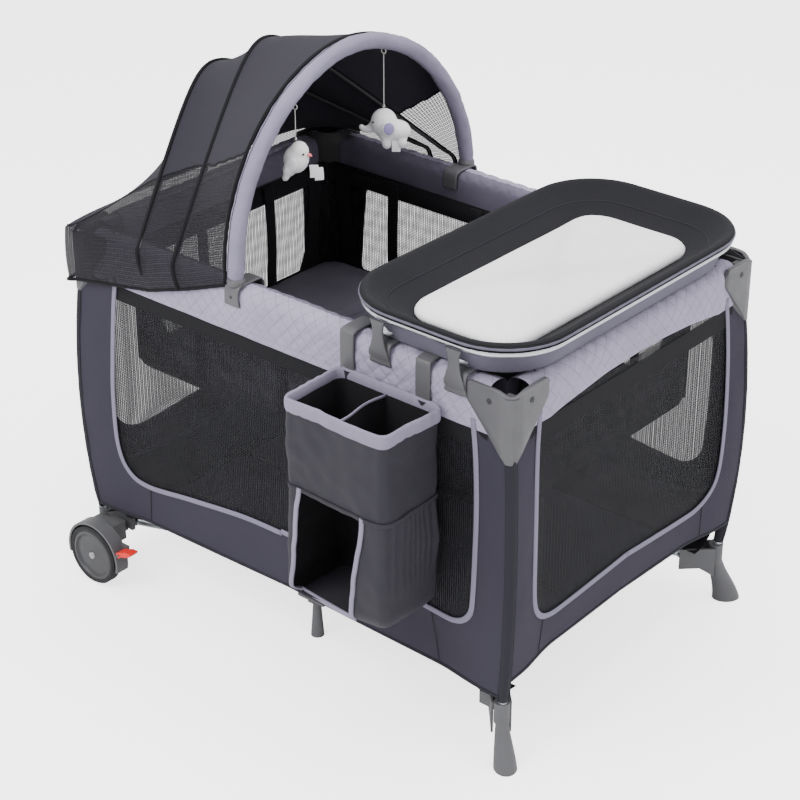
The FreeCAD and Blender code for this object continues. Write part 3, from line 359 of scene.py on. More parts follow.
def plastic(name, colour, rough, grain=0.00015):
    """Moulded plastic with a fine grain."""
    look = Look(name, rough, specular=0.3)
    look.bump(look.noise(1400, 2), grain, 0.5)
    look.bump(look.noise(25, 2), 0.0006, 0.15)
    cloud = look.spread(look.noise(14, 4), 0.0, 1.0)
    look.put(look.shader.inputs["Roughness"], look.spread(look.noise(40, 3), rough - 0.08, rough + 0.1))
    return look.paint(look.mix(cloud, shade(colour, 0.92), shade(colour, 1.08))).done()


def metal(name, colour, rough):
    """Brushed tube or pin."""
    look = Look(name, rough, metal=1.0)
    look.bump(look.noise(700, 3), 0.00008, 0.4)
    look.put(look.shader.inputs["Roughness"], look.spread(look.noise(55, 3), rough - 0.06, rough + 0.12))
    cloud = look.spread(look.noise(20, 3), 0.0, 1.0)
    return look.paint(look.mix(cloud, shade(colour, 0.88), shade(colour, 1.06))).done()


def netting(name, colour, cover, swing, pitch=0.0046):
    """Knitted mesh: staggered rows of small soft holes. cover is how much it hides, give or take swing."""
    look = Look(name, 0.7, sheen=0.03, specular=0.12)
    u, v = look.axis("X"), look.axis("Y")
    holes = look.math("ADD", look.wave(u, pitch), look.wave(v, pitch * 0.78))
    stagger = look.math("MULTIPLY", look.wave(u, pitch * 2), 0.35)
    weave = look.math("MULTIPLY", look.math("ADD", holes, stagger), -0.5 * swing)
    solid = look.math("MINIMUM", look.math("MAXIMUM", look.math("ADD", weave, cover), 0.0), 1.0)
    look.put(look.shader.inputs["Alpha"], solid)
    look.bump(holes, 0.0004, 0.5)
    cloud = look.spread(look.noise(8, 3), 0.0, 1.0)
    return look.paint(look.mix(cloud, shade(colour, 0.8), shade(colour, 1.2))).done()


def stitched(name, colour, gap, thread, **more):
    """Woven cloth with bands of stitch thread colour across it, one every gap along its length."""
    look = woven(name, colour, **more)
    dashes = look.math("GREATER_THAN", look.wave(look.axis("Y"), gap), -0.2)
    look.paint(look.mix(look.math("MULTIPLY", dashes, 0.35), look.colour, thread))
    return look.done()


GREY_PLASTIC = plastic("grey_plastic", srgb(84, 84, 87), 0.46)
DARK_PLASTIC = plastic("dark_plastic", srgb(50, 50, 52), 0.5)
PALE_PLASTIC = plastic("dish_plastic", srgb(62, 62, 65), 0.42)
BLACK_PLASTIC = plastic("black_plastic", srgb(26, 26, 28), 0.45)
RED_PLASTIC = plastic("red_plastic", srgb(214, 32, 26), 0.4)
PINK = plastic("pink_trim", srgb(214, 110, 116), 0.6)
SILVER = metal("silver_tube", srgb(196, 200, 205), 0.34)
STEEL = metal("steel_pin", srgb(150, 150, 152), 0.3)
RUBBER = plastic("tyre_rubber", srgb(34, 34, 37), 0.72, 0.0004)
WALL = woven("wall_fabric", srgb(59, 56, 69), pitch=0.0015).done()
SLEEVE = woven("sleeve_fabric", srgb(46, 45, 53), pitch=0.0015).done()
BLACK_CLOTH = woven("black_fabric", srgb(27, 27, 31)).done()
DARK_CLOTH = woven("changer_fabric", srgb(36, 36, 40)).done()
SKIRT = woven("changer_skirt", srgb(98, 95, 110), heather=0.2).done()
BAG = woven("bag_fabric", srgb(46, 44, 53), rough=0.6, pitch=0.0012, specular=0.2).done()
BAG_RIM = woven("bag_rim_fabric", srgb(134, 129, 148), heather=0.35).done()
LINING = woven("lining_fabric", srgb(104, 99, 116), heather=0.25).done()
MAT = woven("mat_fabric", srgb(98, 95, 108), heather=0.2).done()
CANOPY = woven("canopy_fabric", srgb(46, 44, 54), rough=0.75, pitch=0.0012, specular=0.15).done()
BINDING = woven("binding_fabric", srgb(24, 24, 28)).done()
ARCH = woven("arch_sleeve", srgb(134, 129, 150), heather=0.3, deep=0.0004).done()
PIPING = stitched("piping_fabric", srgb(138, 133, 154), 0.004, srgb(96, 92, 108), pitch=0.0022)
PAD = woven("pad_fabric", srgb(250, 250, 253), pitch=0.0022, vary=0.02, heather=0.03, deep=0.0005).done()
NET = netting("net_fabric", srgb(24, 24, 28), cover=0.80, swing=0.34)
NET_LINER = netting("liner_net", srgb(34, 34, 38), pitch=0.0052, cover=0.42, swing=0.4)
NET_FINE = netting("canopy_net", srgb(30, 29, 34), pitch=0.0044, cover=0.85, swing=0.22)
PLUSH = woven("plush", srgb(246, 246, 249), pitch=0.002, vary=0.05, heather=0.12, space="Object",
              deep=0.0009).done()
PLUSH_LILAC = woven("plush_lilac", srgb(160, 150, 200), pitch=0.002, heather=0.1, space="Object",
                    deep=0.0008).done()
CREAM = woven("string_fabric", srgb(225, 222, 218), pitch=0.001, space="Object").done()
THREAD = woven("thread", srgb(52, 51, 58), space="Object").done()
TAG = woven("tag_fabric", srgb(235, 235, 238), pitch=0.001, vary=0.03, heather=0.05).done()


# The diamonds of the quilt, in metres along a rail and across it.
QUILT_LONG, QUILT_HIGH = 0.034, 0.030


def quilting():
    """Heathered quilt with diamond lines of stitches at the piece's own pattern coordinates."""
    look = woven("quilt_fabric", srgb(160, 154, 176), heather=0.5, pitch=0.0018)
    u = look.math("MULTIPLY", look.axis("X"), 1 / QUILT_LONG)
    v = look.math("MULTIPLY", look.axis("Y"), 1 / QUILT_HIGH)
    lines = look.math("MAXIMUM", look.wave(look.math("ADD", u, v), 1.0),
                      look.wave(look.math("SUBTRACT", u, v), 1.0))
    seam = look.math("GREATER_THAN", lines, 0.985)
    look.paint(look.mix(look.math("MULTIPLY", seam, 0.45), look.colour, srgb(96, 91, 110)))
    return look.done()


QUILT = quilting()

by_slot = {
    "grey_plastic": GREY_PLASTIC, "dark_plastic": DARK_PLASTIC, "silver_tube": SILVER,
    "steel_tube": SILVER, "steel_pin": STEEL, "tyre_rubber": RUBBER, "red_plastic": RED_PLASTIC,
    "wall_fabric": WALL, "quilt_fabric": QUILT, "floor_fabric": MAT, "liner_fabric": BLACK_CLOTH,
    "mattress_fabric": MAT, "changer_fabric": DARK_CLOTH, "pad_fabric": PAD, "bag_fabric": BAG,
    "canopy_fabric": CANOPY, "arch_sleeve": ARCH, "plush": PLUSH, "string": CREAM,
}
for part in frame["record"]["subparts"]:
    carried = frame["nodes"][part["node"]]
    for slot in carried.material_slots:
        slot.material = by_slot[part["material_slot"]]
for side in ("fl", "rl"):
    for slot in frame["nodes"]["wheel_" + side].material_slots:
        slot.material = PALE_PLASTIC


def screw(name, spot, axis, body, radius=0.0052):
    """A domed screw or rivet head with a dimple."""
    lathe(name, [(0.0008, 0.0008), (0.0016, 0.0004), (radius * 0.55, 0.0014), (radius * 0.85, 0.0011),
                 (radius, 0.0003), (radius, -0.002)], spot, axis, DARK_PLASTIC, body, 24)


# ---------------------------------------------------------------- the yard's cloth walls
CORNERS = {"fr": (1, -1), "fl": (-1, -1), "rr": (1, 1), "rl": (-1, 1)}
POST_X, POST_Y = 0.499, 0.336
BOW_X, BOW_Y = 0.824, 0.566
WALL_X, WALL_Y = 0.516, 0.352
WALL_TOP = 0.672
# The wall's cloth over a post, and the post's own sleeve, stand this far out of its middle line.
POST_SKIN, SLEEVE_RADIUS = 0.0095, 0.0112


def is_long(side):
    """Whether a side runs along x."""
    return side in ("front", "rear")


def half_name(start, side, sign):
    """The name of a piece on one half of a side."""
    return f"{start}_{side}_{'plus' if sign > 0 else 'minus'}"


def wall_low(side):
    """The height of a wall's hem beside a post."""
    return 0.150 if is_long(side) else 0.186


def bow(z):
    """How far a bowed post stands out of its corner at a height."""
    return max(0.0, (0.287 ** 2 - (z - 0.391) ** 2) / 3.4)


def wall_flat(side, along, z, out=0.0):
    """A point of one of the four upright walls, out metres proud of it. along is x or y."""
    if is_long(side):
        return Vector((along, (-1 if side == "front" else 1) * (WALL_Y + out), z))
    return Vector(((1 if side == "right" else -1) * (WALL_X + out), along, z))


def wall_point(side, along, z, out=0.0):
    """As wall_flat, with the cloth's swell round the posts and its lean at the foot."""
    if is_long(side):
        swell = (POST_Y + POST_SKIN + BOW_Y * bow(z) - WALL_Y) * smooth_step(abs(along), 0.40, 0.492)
        lean = -0.012 * smooth_step(0.30 - z, 0.0, 0.16) * (1 - smooth_step(abs(along), 0.36, 0.48))
    else:
        swell = (POST_X + POST_SKIN + BOW_X * bow(z) - WALL_X) * smooth_step(abs(along), 0.24, 0.33)
        lean = -0.012 * smooth_step(0.30 - z, 0.0, 0.14) * (1 - smooth_step(abs(along), 0.2, 0.31))
    return wall_flat(side, along, z, swell + lean + out)


def post_edge(side, z):
    """Where a wall's cloth ends at a post, along the wall."""
    if is_long(side):
        return POST_X + BOW_X * bow(z) - 0.003
    return POST_Y + BOW_Y * bow(z) - 0.003


# Half windows, from the middle of the lower edge round the corner to the rail.
LONG_RIGHT = [(0, .272), (.12, .271), (.24, .267), (.35, .257), (.405, .256), (.438, .282), (.447, .33),
              (.451, .475), (.446, .58), (.436, .662)]
LONG_LEFT = [(0, .268), (.10, .264), (.24, .245), (.355, .228), (.405, .245), (.428, .30), (.431, .40),
             (.426, .48), (.416, .58), (.404, .662)]
SHORT = [(0, .264), (.08, .258), (.172, .252), (.225, .252), (.262, .27), (.283, .31), (.289, .40),
         (.288, .52), (.284, .60), (.276, .672)]
PANELS = [("front", 1, "corner_fr", LONG_RIGHT), ("front", -1, "corner_fl", LONG_LEFT),
          ("rear", 1, "corner_rr", LONG_RIGHT), ("rear", -1, "corner_rl", LONG_LEFT),
          ("right", -1, "corner_fr", SHORT), ("right", 1, "corner_rr", SHORT),
          ("left", -1, "corner_fl", SHORT), ("left", 1, "corner_rl", SHORT)]


def squash_to_post(piece, side):
    """Gives a piece of wall its own copy of its mesh."""
    if is_long(side):
        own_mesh(piece)
    else:
        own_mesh(piece)


def half_wall(side, sign, corner, window):
    """Half a side's cloth: the field round the window, its piping, net, seam and hem."""
    low, above = wall_low(side), WALL_TOP - wall_low(side) + 0.012
    inner = curve_through(window, 72)
    corner_at = max(range(72), key=lambda i: inner[i][0] - inner[i][1])
    outer = []
    for i, (a, z) in enumerate(inner):
        if i <= corner_at:
            share = i / corner_at
            hem = low - 0.012 * share ** 3 - 0.004 * math.sin(math.pi * share)
            outer.append((share * post_edge(side, low), hem))
        else:
            share = (i - corner_at) / (71 - corner_at)
            z_out = low - 0.012 + above * share
            outer.append((post_edge(side, z_out), z_out))
    steps = 14
    rows = []
    for j in range(steps + 1):
        share = j / steps
        row = []
        for (a0, z0), (a1, z1) in zip(inner, outer):
            a, z = a0 + (a1 - a0) * share, z0 + (z1 - z0) * share
            ripple = 0.0012 * noise.noise(Vector((a * 9 + 3 * sign, z * 14, 1.7 * len(side))))
            pull = 0.0016 * math.sin(math.pi * share) * math.sin(z * 46 + a * 20)
            row.append(wall_point(side, a * sign, z, ripple + pull * 0.5))
        rows.append(row)
    panel = grid(half_name("wall", side, sign), rows, WALL, corner)
    squash_to_post(panel, side)
    wide = post_edge(side, 0.39)

    pipe_path = [wall_point(side, a * sign, z, 0.0012) for a, z in inner]
    facing = [wall_point(side, a * sign, z, 1.0) - wall_point(side, a * sign, z, 0.0) for a, z in inner]
    squash_to_post(sweep(half_name("piping", side, sign), pipe_path, oval(0.0055, 0.0016, 10, 0.7), PIPING, corner,
                         up=facing), side)

    wide, net_low, net_high = post_edge(side, 0.3) - 0.035, 0.2, 0.664
    rows = [[wall_point(side, sign * wide * j / 21, net_low + (net_high - net_low) * i / 23, -0.0025)
             for j in range(22)] for i in range(24)]
    pane = grid(half_name("net", side, sign), rows, NET, corner)
    squash_to_post(pane, side)

    seam_at = 0.352 if is_long(side) else 0.245
    index = min(range(72), key=lambda i: abs(inner[i][0] - seam_at) + (10 if i > corner_at else 0))
    top, foot = inner[index], (seam_at * 1.03, low - 0.006)
    line = [wall_point(side, sign * (top[0] + (foot[0] - top[0]) * t), top[1] + (foot[1] - top[1]) * t, 0.0012)
            for t in np.linspace(0, 1, 14)]
    out_way = wall_point(side, sign * 0.1, 0.2, 1.0) - wall_point(side, sign * 0.1, 0.2, 0.0)
    squash_to_post(sweep(half_name("seam", side, sign), line, oval(0.0009, 0.0006, 6), THREAD, corner, up=out_way),
                   side)

    hem_path = [wall_point(side, a * sign, z, 0.0004) for a, z in outer[:corner_at + 1]]
    squash_to_post(sweep(half_name("hem", side, sign), hem_path, oval(0.0016, 0.0035, 8), SLEEVE, corner),
                   side)


for wall in PANELS:
    half_wall(*wall)

for corner, (sx, sy) in CORNERS.items():
    path, grow = [], []
    for i in range(44):
        z = 0.128 + (0.64 - 0.128) * i / 43
        path.append((sx * (POST_X + BOW_X * bow(z)), sy * (POST_Y + BOW_Y * bow(z)), z))
        crease = 0.04 * noise.noise(Vector((z * 40, sx * 3, sy * 5)))
        grow.append(1 + crease - 0.12 * smooth_step(0.16 - z, 0, 0.03))
    sweep(f"post_sleeve_{corner}", path, circle(SLEEVE_RADIUS, 18), SLEEVE, f"corner_{corner}",
          up=(sx, -sy, 0), scale=grow)
    for k, way in (("long", (sx * -0.35, sy * 1.0)), ("short", (sx * 1.0, sy * -0.35))):
        size = math.hypot(*way)
        line = [(x + way[0] / size * SLEEVE_RADIUS, y + way[1] / size * SLEEVE_RADIUS, z) for x, y, z in path]
        sweep(f"sleeve_seam_{k}_{corner}", line, circle(0.0010, 6), THREAD, f"corner_{corner}", up=(sx, sy, 0))
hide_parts("side_fabric")


# ---------------------------------------------------------------- quilted rail covers
def cover_profile(outer_low):
    """The cover's section: out from the rail, height. It starts at the outer hem, and ends inside."""
    return [(0.0, outer_low), (0.0012, outer_low + 0.02), (0.0022, 0.690), (0.0016, 0.712),
            (-0.003, 0.724), (-0.011, 0.7305), (-0.022, 0.7325), (-0.034, 0.7315), (-0.044, 0.727),
            (-0.0500, 0.717), (-0.0515, 0.700), (-0.0515, 0.672)]


def quilt_height(u, v):
    """How far the quilt puffs up at a place of its diamonds."""
    a = u / QUILT_LONG + v / QUILT_HIGH
    b = u / QUILT_LONG - v / QUILT_HIGH
    near = min(abs(a - round(a)), abs(b - round(b))) * 2
    return 0.0021 * (1 - (1 - min(1.0, near * 1.15)) ** 2.2)


def cover(side, low_at, start, stop, name, body, mid=None):
    """A quilted cover along a rail from start to stop, with its hem at low_at(place).

    It rides on one body, or, when mid is given, on none, with its transform baked into its mesh.
    """
    across = 64
    cap_at = 0.410 if is_long(side) else 0.246
    rows = []
    for s in np.linspace(start, stop, max(8, int((stop - start) / 0.0034))):
        line = curve_through([(o, z, 0) for o, z in cover_profile(low_at(s))], across)[:, :2]
        steps = np.concatenate([[0], np.cumsum(np.linalg.norm(np.diff(line, axis=0), axis=1))])
        tangents = np.gradient(line, axis=0)
        row = []
        for j, (o, z) in enumerate(line):
            t = tangents[j] / (np.linalg.norm(tangents[j]) + 1e-9)
            normal = (t[1], -t[0])
            lift = quilt_height(s, z if steps[j] < 0.085 else 0.73 + steps[j] - 0.085)
            lift *= smooth_step(steps[j], 0.008, 0.018) * (1 - smooth_step(steps[j], 0.125, 0.14))
            if steps[j] < 0.008:
                lift = 0.0006 + 0.0005 * math.sin(steps[j] / 0.008 * math.pi)
            lift += 0.0012 * noise.noise(Vector((s * 16, steps[j] * 20, len(side))))
            under_cap = smooth_step(abs(s), cap_at, cap_at + 0.022)
            lift *= 1 - under_cap
            row.append(wall_flat(side, s, z + normal[1] * lift - 0.001 * under_cap,
                                 o + normal[0] * lift - 0.0012 * under_cap))
        rows.append(row)
    piece = grid(name, rows, QUILT, body)
    piece.data.materials.append(LINING)
    for index, polygon in enumerate(piece.data.polygons):
        polygon.material_index = 1 if index % (across - 1) > (across - 1) * 0.60 else 0
    if mid is not None:
        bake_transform(piece)
    return piece


def flat_hem(_):
    """The height of the quilt's hem on the long sides."""
    return 0.643


def arched_hem(s):
    """The height of the quilt's hem on the end sides."""
    return 0.650 + 0.022 * (1 - min(1.0, abs(s) / 0.25) ** 2)


COVERS = [("front", flat_hem, 0.398, ("rail_front_r", "rail_front_l"), "corner_fr", "corner_fl"),
          ("rear", flat_hem, 0.398, ("rail_rear_r", "rail_rear_l"), "corner_rr", "corner_rl"),
          ("right", arched_hem, 0.236, ("rail_right_b", "rail_right_f"), "corner_rr", "corner_fr"),
          ("left", arched_hem, 0.236, ("rail_left_b", "rail_left_f"), "corner_rl", "corner_fl")]
for side, hem, reach, mid, plus, minus in COVERS:
    main = cover(side, hem, -reach, reach, f"quilt_{side}", None, mid)
    end_at = 0.466 if is_long(side) else 0.300
    cover(side, hem, reach, end_at, f"quilt_end_{side}_plus", plus)
    cover(side, hem, -end_at, -reach, f"quilt_end_{side}_minus", minus)
    if side == "front":
        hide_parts("rail_cover")
    for sign, body in ((1, plus), (-1, minus)):
        rows = [[wall_flat(side, sign * s, z, -0.0012)
                 for s in np.linspace(0.0, end_at, 18)] for z in (0.612, 0.620, 0.630, 0.640, 0.650)]
        band = grid(half_name("top_band", side, sign), rows, BLACK_CLOTH, body)
        squash_to_post(band, side)


# ---------------------------------------------------------------- bassinet
liner_low, liner_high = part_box("bassinet_liner")
mat_low, mat_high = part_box("bassinet_mattress")
LX, LY = liner_high[0] - 0.001, liner_high[1] - 0.001
FLOOR_Z, RIM_Z = liner_low[2] + 0.001, 0.682


def liner_line(z, count=200):
    """The liner's outline, drawn in a little between its corners, and more at half height."""
    share = (z - FLOOR_Z) / (RIM_Z - FLOOR_Z)
    draw = 0.006 * math.sin(math.pi * min(1.0, share)) - 0.03 * smooth_step(share, 0.93, 1.0)
    line = even(rounded(0, 0, LX, LY, 0.03 + 0.02 * (1 - share), 8), count)
    out = []
    for x, y in line:
        sag = draw * (1 - (abs(x) / LX) ** 4 * (abs(y) / LY) ** 4)
        out.append((x * (1 - sag), y * (1 - sag), z))
    return out


rows = [liner_line(z) for z in np.linspace(FLOOR_Z + 0.004, RIM_Z, 26)]
liner = grid("bassinet_walls", rows, NET_LINER, "hub", wrap=True)
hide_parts("bassinet_liner")
rows = [[(x * share, y * share, FLOOR_Z + 0.004 * share ** 8) for x, y, _ in liner_line(FLOOR_Z)]
        for share in np.linspace(1, 0.02, 12)]
grid("bassinet_floor", rows, BLACK_CLOTH, "hub", wrap=True)


def corner_panel(index, sx, sy):
    """A solid cloth corner of the liner, wider at its foot than at its rim."""
    rows = []
    for z in np.linspace(FLOOR_Z + 0.003, RIM_Z, 14):
        share = (z - FLOOR_Z) / (RIM_Z - FLOOR_Z)
        wide = 0.055 + 0.05 * (1 - share) ** 3
        row = []
        for t in np.linspace(-1, 1, 21):
            far, near = 0.004 + wide * abs(t), 0.0022 + 0.010 * (1 - smooth_step(abs(t), 0, 0.3))
            x, y = (LX - near, LY - far) if t < 0 else (LX - far, LY - near)
            row.append((sx * x, sy * y, z))
        rows.append(row)
    grid(f"liner_corner_{index}", rows, BLACK_CLOTH, "hub")


for index, (sx, sy) in enumerate(CORNERS.values()):
    corner_panel(index, sx, sy)
for places, size, first, sides in (((-0.27, -0.06, 0.17), LY - 0.0045, "", ("front", "rear")),
                                   ((-0.09, 0.10), LX - 0.0055, "x", ("left", "right"))):
    for index, at in enumerate(places):
        for sign, side in zip((-1, 1), sides):
            outs = [(sign * (size - 0.005 * math.sin(math.pi * t)), FLOOR_Z + t * (RIM_Z - FLOOR_Z))
                    for t in np.linspace(0, 1, 14)]
            line = [(out, at, z) if first else (at, out, z) for out, z in outs]
            way = (-sign, 0, 0.0006) if first else (0, -sign, 0.0004)
            sweep(f"liner_strap_{first}{index}_{side}", line, oval(0.0135, 0.0012, 10, 0.5), BLACK_CLOTH, "hub",
                  up=way)
for name, base, levels in (
        ("liner_top_hem", 0.655, ((0.646, 0.0), (0.650, -0.0015), (0.660, -0.0015), (0.668, 0.0), (0.682, 0.008))),
        ("liner_bottom_hem", FLOOR_Z + 0.004, ((0.447, 0.001), (0.452, 0.0018), (0.462, 0.0018), (0.466, 0.001)))):
    rows = [[(x * (1 + out / LX), y * (1 + out / LY), z) for x, y, _ in liner_line(base)] for z, out in levels]
    grid(name, rows, BLACK_CLOTH, "hub", wrap=True)


def pillow(name, half_x, half_y, radius, low, high, look, body, centre=(0, 0), seams=(), count=120):
    """A padded mat: flat underneath, crowned on top, with sewn channels at seams along x."""
    outline = even(rounded(0, 0, half_x, half_y, radius, 8), count)
    thick = high - low
    rows = [[(centre[0], centre[1], low)] * count]
    for share, height in ((0.90, 0.0), (0.97, 0.04), (1.0, 0.22), (1.0, 0.45), (0.985, 0.66), (0.955, 0.80)):
        rows.append([(centre[0] + x * share, centre[1] + y * share, low + thick * height) for x, y in outline])
    for share in np.linspace(0.92, 0.0, 34):
        row = []
        for x, y in outline:
            px, py = x * share, y * share
            dip = sum(math.exp(-((px - s) / 0.007) ** 2) for s in seams)
            rise = 0.84 + 0.16 * (1 - share ** 4)
            wave = 0.03 * noise.noise(Vector((px * 14, py * 14, 3.1)))
            row.append((centre[0] + px, centre[1] + py, low + thick * (rise + wave - 0.38 * min(1.0, dip))))
        rows.append(row)
    return grid(name, rows, look, body, wrap=True)


mattress = pillow("mattress_pad", mat_high[0] - 0.001, mat_high[1] - 0.001, 0.035, mat_low[2], mat_high[2] + 0.004,
                  MAT, "mattress", seams=(-0.22, 0.0, 0.22))
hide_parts("bassinet_mattress")
for index, (sx, sy) in enumerate(((1, -1), (-1, -1), (1, 1), (-1, 1))):
    board = pillow(f"floor_pad_{index}", 0.217, 0.1475, 0.012, 0.117, 0.126, MAT, "hub",
                   centre=(sx * 0.2195, sy * 0.1495), count=60)
    if index == 0:
        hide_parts("floor_panel")


rows = [[(x, y, 0.1166 + 0.0004 * math.sin(x * 30) * math.sin(y * 30)) for x in np.linspace(-0.432, 0.432, 30)]
        for y in np.linspace(-0.292, 0.292, 20)]
grid("floor_base", rows, BLACK_CLOTH, "hub")


def floor_margin(side, sign, corner):
    """The cloth floor between the board's edge and the walls' lower hems."""
    edge, start = (0.487, 0.280 - WALL_Y) if is_long(side) else (0.322, 0.415 - WALL_X)
    base, low = 0.118, wall_low(side)
    rows = []
    for t in np.linspace(0, 1, 10):
        row = []
        for s in np.linspace(0, edge, 24):
            inner = wall_flat(side, sign * s, base, start)
            p = inner.lerp(wall_point(side, sign * s, low, -0.003), t)
            p.z = base + (low + 0.004 - base) * t ** 2.4
            row.append(p)
        rows.append(row)
    margin = grid(half_name("floor_margin", side, sign), rows, BLACK_CLOTH, corner)
    squash_to_post(margin, side)


for side, sign, corner, _ in PANELS:
    floor_margin(side, sign, corner)


# ---------------------------------------------------------------- changer
tub_low, tub_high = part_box("changer_tub")
CX, CY = (tub_low[0] + tub_high[0]) / 2, (tub_low[1] + tub_high[1]) / 2
HX, HY = (tub_high[0] - tub_low[0]) / 2, (tub_high[1] - tub_low[1]) / 2


def tub_ring(inset, z, count=168, wobble=0.0):
    """The changer's outline, drawn in by inset."""
    radius = max(0.03, 0.125 - inset * 0.75)
    line = even(rounded(CX, CY, HX - inset, HY - inset, radius, 10), count)
    out = []
    for x, y in line:
        nx, ny = (x - CX) / HX, (y - CY) / HY
        w = wobble * noise.noise(Vector((x * 12, y * 12, z * 20)))
        out.append((x + nx * w, y + ny * w, z + w * 0.5))
    return out


# Each section gives how far it is drawn in, its height and how much it is creased.
SKIRT_SECTION = [(0.0275, 0.741, 0), (0.024, 0.750, 1), (0.019, 0.765, 1), (0.013, 0.780, 1), (0.0085, 0.789, 0)]
skirt = grid("changer_skirt", [tub_ring(i, z, wobble=0.004 * w) for i, z, w in SKIRT_SECTION], SKIRT, "changer",
             wrap=True)
BOWL_SECTION = [(0.0085, 0.788, 0), (0.003, 0.7915, 0), (0.0006, 0.796, 0), (0.0018, 0.8005, 0), (0.006, 0.8035, 0),
                (0.0105, 0.8035, 0), (0.0145, 0.801, 0), (0.020, 0.795, 0.5), (0.030, 0.786, 1), (0.042, 0.775, 1),
                (0.055, 0.765, 1), (0.070, 0.756, 1), (0.084, 0.7495, 1), (0.100, 0.7465, 0.3), (0.14, 0.746, 0)]
tub = grid("changer_bowl", [tub_ring(i, z, wobble=0.005 * w) for i, z, w in BOWL_SECTION], DARK_CLOTH, "changer",
           wrap=True)
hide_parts("changer_tub")
rows = [[(CX + (x - CX) * share, CY + (y - CY) * share, 0.7425 - 0.002 * (1 - share))
         for x, y, _ in tub_ring(0.027, 0.742)] for share in np.linspace(1, 0.02, 10)]
grid("changer_underside", rows, DARK_CLOTH, "changer", wrap=True)
for name, inset, z, radius, look, twist in (("changer_rim_piping", 0.0014, 0.7955, 0.0024, SKIRT, 0.10),
                                            ("changer_rim_line", 0.0032, 0.8000, 0.0016, BINDING, 0),
                                            ("changer_rim_line_low", 0.0046, 0.7890, 0.0018, BINDING, 0),
                                            ("changer_seam_line", 0.0420, 0.7756, 0.0009, THREAD, 0)):
    sweep(name, tub_ring(inset, z, 220), circle(radius, 9), look, "changer", closed=True,
          scale=[1 + twist * math.sin(i * 1.9) for i in range(220)])


def rough_pad():
    """The changing pad, loosely filled, with soft folds in its upper side."""
    lo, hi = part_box("changer_pad")
    cx, cy = (lo[0] + hi[0]) / 2 - 0.003, (lo[1] + hi[1]) / 2 + 0.004
    hx, hy = (hi[0] - lo[0]) / 2 - 0.052, (hi[1] - lo[1]) / 2 - 0.036
    pad = pillow("changing_pad", hx, hy, 0.055, lo[2] + 0.002, hi[2] + 0.009, PAD, "changer",
                 centre=(cx, cy), count=132)
    for vertex in pad.data.vertices:
        p = vertex.co
        if p.z > lo[2] + 0.008:
            fall = 1 - max(abs(p.x - cx) / hx, abs(p.y - cy) / hy) ** 6
            ridge = noise.noise(Vector((p.x * 15 + 4, p.y * 8, 0.4)))
            fold = noise.noise(Vector((p.x * 6, p.y * 20 + 7, 5.1)))
            p.z += fall * (0.0042 * ridge + 0.0034 * max(0.0, fold))
    return pad


pad = rough_pad()
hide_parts("changer_pad")


# ---------------------------------------------------------------- organizer
BX, BY, BHX, BHY = 0.2665, -0.432, 0.1105, 0.072
BAG_TOP, BAG_MID, BAG_LOW = 0.664, 0.500, 0.287


def bag_ring(z, inset=0.0, count=180, lower=False):
    """The organizer's outline at a height, starting at the front face's left end and going right round."""
    tuck = 0.0
    if z < BAG_LOW + 0.03:
        tuck = 0.016 * (1 - (z - BAG_LOW) / 0.03) ** 2
    swell = 0.0
    if lower:
        swell = 0.004 * math.sin(math.pi * min(1.0, max(0.0, (z - BAG_LOW) / (BAG_MID - BAG_LOW))))
    half_x, half_y = BHX - inset - tuck, BHY - inset - tuck
    corner_ring = even(rounded(BX, BY, half_x, half_y, 0.016, 6), count * 4)
    start = min(range(count * 4), key=lambda i: math.hypot(corner_ring[i][0] - (BX - half_x + 0.02),
                                                           corner_ring[i][1] - (BY - half_y)))
    corner_ring = np.roll(corner_ring, -start, axis=0)[::4]
    out = []
    for x, y in corner_ring:
        nx, ny = (x - BX) / half_x, (y - BY) / half_y
        side_face = smooth_step(nx, 0.9, 1.0)
        pleat = 0.0028 * side_face * math.cos(y * 420 + 2 * math.sin(y * 60)) if lower else 0.0
        pleat *= smooth_step(0.14 - abs(z - 0.47), 0.0, 0.12)
        crease = 0.0060 * noise.noise(Vector((x * 11, y * 11 + 3, z * 13)))
        crease += 0.0022 * noise.noise(Vector((x * 34 + z * 22, y * 30 + 3, z * 30 - x * 12)))
        back = smooth_step(ny, 0.85, 1.0)
        push = (swell + pleat + crease) * (1 - back)
        length = math.hypot(nx ** 7, ny ** 7) + 1e-6
        out.append((x + push * math.copysign(abs(nx) ** 7, nx) / length,
                    y + push * math.copysign(abs(ny) ** 7, ny) / length, z))
    return out


def bag_part(name, rows, look, wrap=True):
    """A sheet of the organizer."""
    return grid(name, rows, look, "hub", wrap=wrap)


def bag_plate(name, ring, dish, look):
    """A level bottom inside the ring."""
    rows = [[(BX + (x - BX) * s, BY + (y - BY) * s, z - dish * (1 - s)) for x, y, z in ring]
            for s in np.linspace(1, 0.03, 8)]
    bag_part(name, rows, look)


